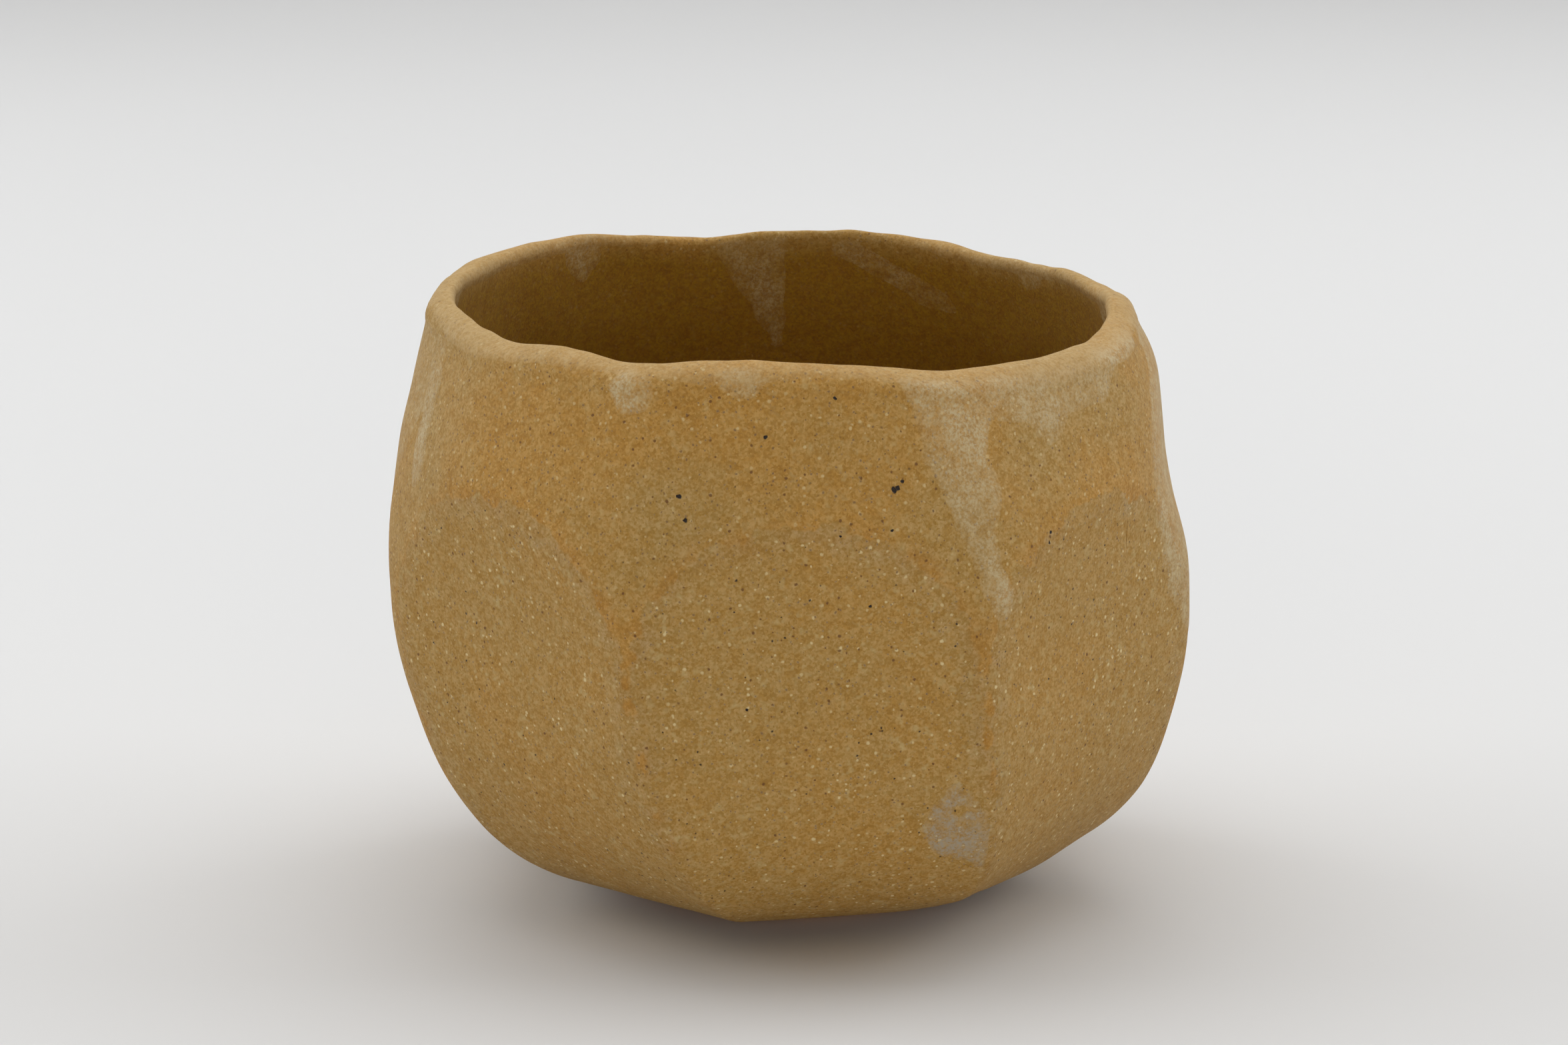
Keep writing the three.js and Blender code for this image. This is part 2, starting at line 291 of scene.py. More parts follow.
    def lower_flats(self, layers: Array) -> Array:
        """Those layers, out of one for each cut, that belong to the lower flats."""
        return layers[1 : 1 + len(self.flat_azimuths)]

    def flat_share(self, azimuth: Array, z: Array) -> Array:
        """How fully a point lies on one lower flat: the largest share of a flat in the soft minimum.

        It is 1 in a flat's middle, about a half on a ridge and 0 above the arch.

        Args:
            azimuth: Azimuths of the points.
            z: Heights of the points.

        Returns:
            The share at each point.
        """
        radii = self.cut_radii(azimuth, z)
        weights = np.exp((radii.min(axis=0) - radii) / self.mask_softness)
        return self.lower_flats(weights).max(axis=0) / weights.sum(axis=0)

    def arch_gap(self, azimuth: Array, z: Array) -> Array:
        """How far the nearest lower knife plane lies outside the blank; negative where it cuts."""
        radii = self.cut_radii(azimuth, z)
        return np.clip(self.lower_flats(radii).min(axis=0) - radii[0], -self.arch_reach, self.arch_reach)

    def squeeze(self, azimuth: Array, z: Array) -> Array:
        """Share by which the carving draws a point in towards the core."""
        return (self.carved_radius(azimuth, z) - self.core_radius) / (self.blank_radius(z) - self.core_radius)

    @cached_property
    def mean_squeeze(self) -> tuple[Array, Array]:
        """Squeeze at each height, averaged all round the bowl.

        Returns:
            The heights, and the mean at each.
        """
        heights = np.linspace(self.edge_height, self.rim_height, self.mean_rows)
        azimuths = np.arange(0.0, 360.0, self.mean_step)[None, :]
        return heights, self.squeeze(azimuths, heights[:, None]).mean(axis=1)

    def rim_lift(self, azimuth: Array) -> Array:
        """How far the lip rises: a sum of cosine waves and of small Gaussian bumps round the rim.

        Args:
            azimuth: Azimuths of the points.

        Returns:
            The rise at each azimuth.
        """
        lift = sum(
            height * np.cos(np.radians(count * (azimuth - start))) for count, height, start in self.waves
        )
        for centre, height in self.bumps:
            lift = lift + height * np.exp(-((turn_between(centre, azimuth) / self.bump_width) ** 2))
        return lift

    def leaning(self, z: Number) -> Number:
        """How far the lean shifts a level to the right."""
        return self.lean * (self.belly_height - z) / self.rim_height

    def shaped(self, radius: Array, azimuth: Array, z: Array) -> Array:
        """Where hand shaping brings points of the blank.

        Outside the core the radius is squeezed by the carving, and less so towards the inner face. The lift
        of the rim fades in above the belly, the twist fades in below it, and the lean shifts each level.

        Args:
            radius: Radii in the blank.
            azimuth: Azimuths in the blank.
            z: Heights in the blank.

        Returns:
            Positions in millimetres, with the axes last.
        """
        blank, hollow = self.blank_radius(z), self.hollow_radius(z)
        outer = np.clip((radius - hollow) / np.maximum(blank - hollow, self.least_wall), 0.0, 1.0)
        mean = np.interp(z, *self.mean_squeeze)
        squeeze = lerp(mean, self.squeeze(azimuth, z), lerp(self.inner_facets, 1.0, outer))
        core = self.core_radius
        r = np.where(radius > core, core + (radius - core) * squeeze, radius)
        turned = azimuth + self.twist * np.clip(1 - z / self.belly_height, 0.0, 1.0) ** 2
        lift = self.rim_lift(azimuth) * smoothstep(self.belly_height, self.rim_height, z)
        points = ring_points(r, turned, z + lift)
        points[..., 0] += self.leaning(z)
        return points


@dataclass
class Skin:
    """Section of the blank as one path, by its distance from the crest of the lip.

    The path runs from the underside out to the lower edge, up the outside, over the lip, down the inside
    and along the pool to the axis. Distances are negative outside and positive inside.
    """

    form: Form
    samples: int = 240
    distance: Array = field(init=False)
    path: Array = field(init=False)
    edge: float = field(init=False)
    bend_outside: float = field(init=False)
    bend_inside: float = field(init=False)
    joint_outside: float = field(init=False)
    joint_inside: float = field(init=False)

    def __post_init__(self) -> None:
        """Lays out the path: straight underside, blank curves, elliptic quarters at the lip, cosine pool."""
        form, share = self.form, np.linspace(0.0, 1.0, self.samples)
        lip_base, tuck_base = form.rim_height - form.lip_drop, form.rim_height - form.lip_tuck
        crest = form.rim_radius - form.lip_thickness + form.lip_tuck
        under = lerp(form.core_radius, form.edge_radius, share)
        low = lerp(form.edge_height, form.belly_height, share**2)
        high = lerp(form.belly_height, lip_base, share)
        turn = share * np.pi / 2
        lip_radius = form.blank_radius(np.array(lip_base)) - crest
        tuck_radius = crest - form.hollow_radius(np.array(tuck_base))
        inner_high = lerp(tuck_base, form.belly_height, share)
        inner_low = lerp(form.floor_height, form.belly_height, (1 - share) ** 2)
        pool = form.floor_radius * (1 - share)
        parts = [
            (under, lerp(form.foot_height, form.edge_height, share)),
            (form.blank_radius(low), low),
            (form.blank_radius(high), high),
            (crest + lip_radius * np.cos(turn), lip_base + form.lip_drop * np.sin(turn)),
            (crest - tuck_radius * np.sin(turn), tuck_base + form.lip_tuck * np.cos(turn)),
            (form.hollow_radius(inner_high), inner_high),
            (form.hollow_radius(inner_low), inner_low),
            (pool, form.floor_height - form.pool_depth * (1 + np.cos(np.pi * pool / form.floor_radius)) / 2),
        ]
        ends = np.cumsum([len(r) - 1 for r, _ in parts])
        radius = np.concatenate([r[:-1] for r, _ in parts] + [[0.0]])
        height = np.concatenate([z[:-1] for _, z in parts] + [[form.floor_height - form.pool_depth]])
        along = np.concatenate([[0.0], np.cumsum(np.hypot(np.diff(radius), np.diff(height)))])
        self.distance = along - along[ends[3]]
        d_radius, d_height = np.gradient(radius, along), np.gradient(height, along)
        size = np.hypot(d_radius, d_height)
        self.path = np.stack([radius, height, d_height / size, -d_radius / size])
        self.edge = self.distance[ends[0]]
        self.bend_outside, self.bend_inside = -self.distance[ends[2]], self.distance[ends[4]]
        self.joint_outside = self.outside_at(form.joint_height)
        inner = slice(ends[5], ends[6] + 1)
        self.joint_inside = float(np.interp(-form.joint_height, -height[inner], self.distance[inner]))

    def outside_at(self, z: Number) -> Number:
        """Distance at which the outside passes a height."""
        outer = (self.distance >= self.edge) & (self.distance <= -self.bend_outside)
        return np.interp(z, self.path[1][outer], self.distance[outer])

    def section(self, distance: Array, raised: Number = 0.0) -> tuple[Array, Array]:
        """Radii and heights of points of the path, moved out along its normal by an amount."""
        radius, height, out, up = (np.interp(distance, self.distance, row) for row in self.path)
        return radius + out * raised, height + up * raised


@dataclass
class Maker:
    """The hand behind all pieces: brings points of the skin into the frame, with the unevenness of the clay.

    A noise has its height, its cell, the scale of heights in it and its seed; a swelling its azimuth, its
    height, its breadth, its spread and its amount.
    """

    form: Form
    skin: Skin
    columns: int = 448
    noises: tuple[tuple[float, float, float, int], ...] = (
        (0.24, 21.0, 1.0, 3), (0.13, 8.5, 1.0, 7), (0.035, 2.6, 0.55, 11),
    )
    inner_gain: float = 1.7
    inner_rise: float = 8.0
    nick: float = 0.22
    nick_cell: float = 3.6
    nick_seed: int = 17
    nick_reach: float = 4.0
    roll: float = 0.07
    roll_below: float = 0.6
    roll_width: float = 1.6
    swellings: tuple[tuple[float, float, float, float, float], ...] = (
        (82, 13, 22, 9, 0.35), (90, 60, 26, 8, -0.65), (88, 74, 22, 8, 0.8), (84, 24, 24, 10, -0.55),
        (96, 83, 20, 5, -0.9), (-92, 48, 26, 9, 0.25), (-90, 64, 26, 9, -0.75), (-84, 30, 26, 8, -0.6),
        (-84, 79, 24, 10, -0.9), (-80, 16, 26, 11, -0.6), (29, 3.5, 9, 4, -0.9), (58, 6, 14, 5, 1.0),
    )
    edge_fade: Pair = (-4.0, 7.0)
    inside_rise: float = 5.0
    bare_fade: Pair = (-5.0, 1.5)
    slope_turn: float = 0.3
    slope_step: float = 0.4
    shift: Array = field(init=False)

    def __post_init__(self) -> None:
        """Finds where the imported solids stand: the foot ring's middle against the form's own."""
        low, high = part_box("foot_ring")
        middle = np.array((low + high) / 2) / MM
        self.shift = np.array([middle[0] - self.form.leaning(self.form.foot_height), middle[1], 0.0])

    @property
    def azimuths(self) -> Array:
        """Azimuths of the columns, as one row."""
        return np.arange(self.columns)[None, :] * 360.0 / self.columns

    def relief(self, azimuth: Array, distance: Array) -> Array:
        """Unevenness of the surface: a sum of lattice noises, nicks and a roll at the lip, and swellings.

        The noises are stronger inside, the swellings are Gaussian and outside only, and all of it fades out
        under the lower edge.

        Args:
            azimuth: Azimuths of the points.
            distance: Distances from the crest.

        Returns:
            Heights above the even skin.
        """
        skin = self.skin
        radius, z = skin.section(distance)
        points = ring_points(radius, azimuth, z)
        uneven = sum(
            height * lattice_noise(points * np.array([1.0, 1.0, upright]), cell, seed)
            for height, cell, upright, seed in self.noises
        )
        uneven = uneven * lerp(1.0, self.inner_gain, smoothstep(0.0, self.inner_rise, distance))
        nicks = self.nick * lattice_noise(points, self.nick_cell, self.nick_seed)
        uneven = uneven + nicks * np.exp(-((distance / self.nick_reach) ** 2))
        below = (distance + skin.bend_outside + self.roll_below) / self.roll_width
        uneven = uneven - self.roll * np.exp(-(below**2))
        outside = 1.0 - smoothstep(-skin.bend_outside, 0.0, distance)
        for centre, height, width, spread, amount in self.swellings:
            aside = turn_between(centre, azimuth) / width
            uneven = uneven + outside * amount * np.exp(-(aside**2) - ((z - height) / spread) ** 2)
        low, high = self.edge_fade
        return uneven * smoothstep(skin.edge + low, skin.edge + high, distance)

    def place(self, radius: Array, azimuth: Array, z: Array) -> Array:
        """Position in the frame, in metres, of points of the blank."""
        return (self.form.shaped(radius, azimuth, z) + self.shift) * MM

    def on_skin(self, azimuth: Array, distance: Array, raised: Number = 0.0) -> Array:
        """Position in the frame, in metres, of points raised above the uneven skin."""
        radius, z = self.skin.section(distance, self.relief(azimuth, distance) + raised)
        return self.place(radius, azimuth, z)

    def skin_normals(self, distance: float) -> Array:
        """Normals of the uneven skin at one distance: the cross product of its slopes round and along.

        Args:
            distance: Distance from the crest.

        Returns:
            Unit normals that point out of the clay, one for each column.
        """
        azimuth, turn, step = self.azimuths[0], self.slope_turn, self.slope_step
        level = np.full_like(azimuth, distance)
        around = self.on_skin(azimuth + turn, level) - self.on_skin(azimuth - turn, level)
        along = self.on_skin(azimuth, level + step) - self.on_skin(azimuth, level - step)
        normals = np.cross(around, along)
        return normals / np.linalg.norm(normals, axis=-1, keepdims=True)

    def clay_attributes(self, azimuth: Array, distance: Array) -> dict[str, Array]:
        """What the clay's finish reads from a mesh.

        Args:
            azimuth: Azimuths of the points.
            distance: Distances from the crest.

        Returns:
            How fully a point lies on a flat, its gap to an arch, and how far it lies inside and underneath.
        """
        form, skin = self.form, self.skin
        _, z = skin.section(distance)
        outside = 1.0 - smoothstep(-skin.bend_outside, 0.0, distance)
        inside = smoothstep(0.0, self.inside_rise, distance)
        low, high = self.bare_fade
        bare = 1.0 - smoothstep(skin.edge + low, skin.edge + high, distance)
        values = (
            form.flat_share(azimuth, z) * outside,
            lerp(form.arch_reach, form.arch_gap(azimuth, z), outside),
            inside + 0.0 * azimuth,
            bare + 0.0 * azimuth,
        )
        return dict(zip(CLAY_ATTRIBUTES, values))

    def skin_rows(self, distance: Array) -> tuple[Array, dict[str, Array]]:
        """Positions in metres, and clay attributes, of rows along the skin."""
        return self.on_skin(self.azimuths, distance), self.clay_attributes(self.azimuths, distance)

    def plain_rows(self, radius: Array, z: Array, bare: float) -> tuple[Array, dict[str, Array]]:
        """Rows that don't follow the skin.

        Args:
            radius: Radii in the blank.
            z: Heights in the blank.
            bare: How bare the clay is.

        Returns:
            Positions in metres, and clay attributes.
        """
        points = self.place(radius, self.azimuths, z)
        blank = np.zeros(points.shape[:2])
        return points, dict(zip(CLAY_ATTRIBUTES, (blank, blank, blank, blank + bare)))

    def joint_normals(self, outside: int, inside: int) -> dict[int, Array]:
        """Normals of the skin for the two rows at the luted joint."""
        joints = ((outside, self.skin.joint_outside), (inside, self.skin.joint_inside))
        return {row: self.skin_normals(distance) for row, distance in joints}


def add_object(name: str, data: bpy.types.ID) -> bpy.types.Object:
    """Adds an object at the origin.

    Args:
        name: Its name.
        data: What it shows.

    Returns:
        The new object, linked to the scene.
    """
    made = bpy.data.objects.new(name, data)
    bpy.context.scene.collection.objects.link(made)
    return made


@dataclass
class RingMesh:
    """Closed mesh from a grid of points: rows along a section, columns all the way round."""

    name: str
    points: Array
    attributes: dict[str, Array]
    loop: bool = True
    fixed_normals: dict[int, Array] = field(default_factory=dict)
    sharp: float = 42.0

    def faces(self) -> tuple[Array, Array]:
        """Quads between neighbouring rows and columns; without a loop, fans close both ends on poles.

        Returns:
            The corners of all faces one after the other, and the count of corners of each face.
        """
        rows, columns = self.points.shape[:2]
        index = np.arange(rows * columns).reshape(rows, columns)
        below = index if self.loop else index[:-1]
        above = np.roll(index, -1, axis=0) if self.loop else index[1:]
        quads = np.stack([below, np.roll(below, -1, 1), np.roll(above, -1, 1), above], axis=-1).reshape(-1, 4)
        if self.loop:
            return quads.ravel(), np.full(len(quads), 4)
        first, last = np.full(columns, rows * columns), np.full(columns, rows * columns + 1)
        fan_first = np.stack([first, np.roll(index[0], -1), index[0]], axis=-1)
        fan_last = np.stack([index[-1], np.roll(index[-1], -1), last], axis=-1)
        corners = np.concatenate([quads.ravel(), fan_first.ravel(), fan_last.ravel()])
        return corners, np.concatenate([np.full(len(quads), 4), np.full(2 * columns, 3)])

    def build(self) -> bpy.types.Object:
        """Puts the grid into a smooth mesh object at the origin.

        Returns:
            The new object, linked to the scene.
        """
        rows, columns = self.points.shape[:2]
        points = self.points.reshape(-1, 3)
        if not self.loop:
            points = np.concatenate([points, self.points[:1].mean(axis=1), self.points[-1:].mean(axis=1)])
        corners, counts = self.faces()
        mesh = bpy.data.meshes.new(self.name)
        mesh.vertices.add(len(points))
        mesh.vertices.foreach_set("co", points.astype(np.float32).ravel())
        mesh.loops.add(len(corners))
        mesh.loops.foreach_set("vertex_index", corners.astype(np.int32))
        mesh.polygons.add(len(counts))
        mesh.polygons.foreach_set("loop_start", (np.cumsum(counts) - counts).astype(np.int32))
        mesh.polygons.foreach_set("use_smooth", np.ones(len(counts), bool))
        mesh.update(calc_edges=True)
        mesh.validate()
        mesh.set_sharp_from_angle(angle=math.radians(self.sharp))
        for name, values in self.attributes.items():
            flat = np.broadcast_to(values, (rows, columns)).ravel()
            flat = np.concatenate([flat, np.full(len(points) - len(flat), flat[-1])])
            mesh.attributes.new(name, "FLOAT", "POINT").data.foreach_set("value", flat.astype(np.float32))
        if self.fixed_normals:
            normals = np.zeros((len(points), 3))
            for row, values in self.fixed_normals.items():
                normals[row * columns : (row + 1) * columns] = values
            mesh.normals_split_custom_set_from_vertices(normals)
        return add_object(self.name, mesh)


class Zone(Enum):
    """Where a clay surface lies on the bowl."""

    WALL = "wall"
    FLOOR = "floor"
    FOOT = "foot"
    SLIP = "slip"


def linear(red: int, green: int, blue: int) -> Quad:
    """Linear colour, with full alpha, from sRGB display values of 0 to 255."""
    share = np.array([red, green, blue]) / 255.0
    return (*np.where(share <= 0.04045, share / 12.92, ((share + 0.055) / 1.055) ** 2.4).tolist(), 1.0)


class Graph:
    """Short-hand for laying out shader nodes in one tree."""

    def __init__(self, tree: bpy.types.NodeTree) -> None:
        """Starts on an empty tree."""
        self.tree = tree
        tree.nodes.clear()

    def node(
        self, kind: str, inputs: dict[str | int, Value] | None = None, **settings: object,
    ) -> bpy.types.Node:
        """Adds a node, sets its properties and feeds its inputs, linking sockets and setting plain values.

        Args:
            kind: Blender's name of the node's class.
            inputs: Values by the names or the places of the inputs.
            settings: Properties of the node.

        Returns:
            The new node.
        """
        made = self.tree.nodes.new(kind)
        for name, value in settings.items():
            setattr(made, name, value)
        for key, value in (inputs or {}).items():
            if isinstance(value, bpy.types.NodeSocket):
                self.tree.links.new(value, made.inputs[key])
            else:
                made.inputs[key].default_value = value
        return made

    @cached_property
    def place(self) -> Socket:
        """Position on the object, in metres."""
        return self.node("ShaderNodeTexCoord").outputs["Object"]

    def attribute(self, name: str) -> Socket:
        """Value of one of the mesh's own attributes."""
        return self.node("ShaderNodeAttribute", attribute_name=name).outputs["Fac"]

    def math(self, operation: str, *values: Value, clamp: bool = False) -> Socket:
        """Value of a math operation on up to three values."""
        inputs = dict(enumerate(values))
        return self.node("ShaderNodeMath", inputs, operation=operation, use_clamp=clamp).outputs[0]

    def times(self, *values: Value) -> Socket:
        """Product of two or more values."""
        return reduce(lambda product, value: self.math("MULTIPLY", product, value), values)

    def scaled(self, value: Value, factor: Value, added: Value) -> Socket:
        """Value times a factor, plus another value."""
        return self.math("MULTIPLY_ADD", value, factor, added)

    def ramp(self, value: Value, low: float, high: float, start: float = 0.0, end: float = 1.0) -> Socket:
        """Value carried smoothly from the range low to high onto the range start to end."""
        inputs = dict(enumerate((value, low, high, start, end)))
        return self.node("ShaderNodeMapRange", inputs, interpolation_type="SMOOTHSTEP").outputs[0]

    def mix(self, share: Value, first: Value, second: Value, blend: str = "MIX") -> Socket:
        """Colour blended from the first to the second by a share."""
        inputs = {0: share, 6: first, 7: second}
        return self.node("ShaderNodeMix", inputs, data_type="RGBA", blend_type=blend).outputs[2]

    def coats(self, colour: Value, *coats: tuple[Value, Value]) -> Socket:
        """Colour under coats of other colours, each laid on by its share."""
        return reduce(lambda below, coat: self.mix(coat[0], below, coat[1]), coats, colour)

    def noise(self, cell: float, detail: float = 2.0, rough: float = 0.5) -> Socket:
        """Value of a noise whose blobs are about one cell, in metres, across."""
        inputs = {"Vector": self.place, "Scale": 1.0 / cell, "Detail": detail, "Roughness": rough}
        return self.node("ShaderNodeTexNoise", inputs).outputs["Fac"]

    def grains(self, place: Socket, cell: float) -> tuple[Socket, Socket]:
        """Scattered points, one in each cell.

        Args:
            place: Position on the surface.
            cell: Spacing of the points in metres.

        Returns:
            The distance, in cells, to the nearest point, and a random value of that point.
        """
        made = self.node("ShaderNodeTexVoronoi", {"Vector": place, "Scale": 1.0 / cell})
        split = self.node("ShaderNodeSeparateColor", {0: made.outputs["Color"]})
        return made.outputs["Distance"], split.outputs[0]

    def bent(self, cell: float, amount: float) -> Socket:
        """Position plus a noise times an amount.

        Args:
            cell: Size of the noise's blobs in metres.
            amount: Largest push in metres.

        Returns:
            The pushed position.
        """
        push = self.node("ShaderNodeTexNoise", {"Vector": self.place, "Scale": 1.0 / cell}).outputs["Color"]
        inputs = dict(enumerate((push, (amount,) * 3, self.place)))
        return self.node("ShaderNodeVectorMath", inputs, operation="MULTIPLY_ADD").outputs["Vector"]

    def specks(self, place: Socket, cell: float, size: float, bare: float) -> Socket:
        """Mask of scattered round specks: balls about random points, where the surface cuts through them.

        Args:
            place: Position on the surface.
            cell: Spacing of the points in metres.
            size: Largest radius of a ball, in cells.
            bare: Share of the points without a ball.

        Returns:
            The mask, 1 in the middle of a speck.
        """
        far, pick = self.grains(place, cell)
        radius = self.times(self.ramp(pick, bare, 1.0, LEAST_SPECK, 1.0), size)
        inside = self.ramp(self.math("DIVIDE", far, radius), 1.0, SPECK_CORE)
        return self.times(inside, self.math("GREATER_THAN", pick, bare))

    def scatter(self, place: Socket, sizes: Sequence[Quad]) -> Socket:
        """Mask of specks of several sizes, the strongest at each point.

        Args:
            place: Position on the surface.
            sizes: Cell, largest radius, bare share and strength of each size of speck.

        Returns:
            The mask.
        """
        masks = [self.times(self.specks(place, *size), strength) for *size, strength in sizes]
        return reduce(lambda first, second: self.math("MAXIMUM", first, second), masks, 0.0)

    def shade(self, colour: Socket, roughness: Socket, height: Socket) -> None:
        """Ends a material in a Principled shader whose normal is bumped by a height in millimetres.

        Args:
            colour: Base colour.
            roughness: Roughness.
            height: Height in millimetres.
        """
        bump = self.node("ShaderNodeBump", {"Strength": 1.0, "Distance": MM, "Height": height}).outputs[0]
        inputs = {"Base Color": colour, "Roughness": roughness, "Normal": bump, "Specular IOR Level": SHINE}
        shader = self.node("ShaderNodeBsdfPrincipled", inputs)
        self.node("ShaderNodeOutputMaterial", {"Surface": shader.outputs[0]})


def new_group(name: str, inputs: Sequence[str], outputs: dict[str, str]) -> tuple[Graph, dict[str, Socket]]:
    """Starts a shader node group.

    Args:
        name: Name of the group.
        inputs: Names of its inputs, which are plain values.
        outputs: Kind of socket of each output.

    Returns:
        The group's graph and the outputs of its input node.
    """
    tree = bpy.data.node_groups.new(name, "ShaderNodeTree")
    for label in inputs:
        tree.interface.new_socket(label, in_out="INPUT", socket_type="NodeSocketFloat")
    for label, kind in outputs.items():
        tree.interface.new_socket(label, in_out="OUTPUT", socket_type=kind)
    graph = Graph(tree)
    return graph, dict(graph.node("NodeGroupInput").outputs.items())


def new_material(name: str) -> tuple[bpy.types.Material, Graph]:
    """Starts a material that uses nodes.

    Args:
        name: Its name.

    Returns:
        The material and its graph.
    """
    material = bpy.data.materials.new(name)
    material.use_nodes = True
    return material, Graph(material.node_tree)


@dataclass(frozen=True)
class ClayTones:
    """Colours of the fired clay, with painted shade for the inside of the bowl, the pits and the pinholes."""

    ochre: Quad = linear(169, 126, 54)
    olive: Quad = linear(161, 129, 69)
    cut: Quad = linear(164, 128, 64)
    ridge: Quad = linear(160, 114, 44)
    amber: Quad = linear(176, 128, 50)
    chalk: Quad = linear(160, 135, 86)
    # Painted shade: a darker, more saturated tone laid over the inside of the bowl for the shade in the
    # hollow.
    hollow: Quad = linear(143, 103, 4)
    toast: Quad = linear(174, 110, 46)
    curd: Quad = linear(186, 164, 112)
    pale_grit: Quad = linear(208, 187, 138)
    brown_grit: Quad = linear(104, 66, 24)
    # Painted shade: the pits' dark tone stands for the shade inside them; their depth is only a bump.
    shaded_pit: Quad = linear(48, 38, 26)
    # Painted shade: the pinholes' near-black tone stands for the shade inside them; their depth is only a
    # bump.
    pinhole: Quad = linear(26, 12, 3)
    mottle: tuple[Quad, Quad] = ((0.94, 0.88, 0.64, 1.0), (1.06, 1.12, 1.36, 1.0))
    grain: tuple[Quad, Quad] = ((0.82, 0.77, 0.47, 1.0), (1.18, 1.23, 1.55, 1.0))


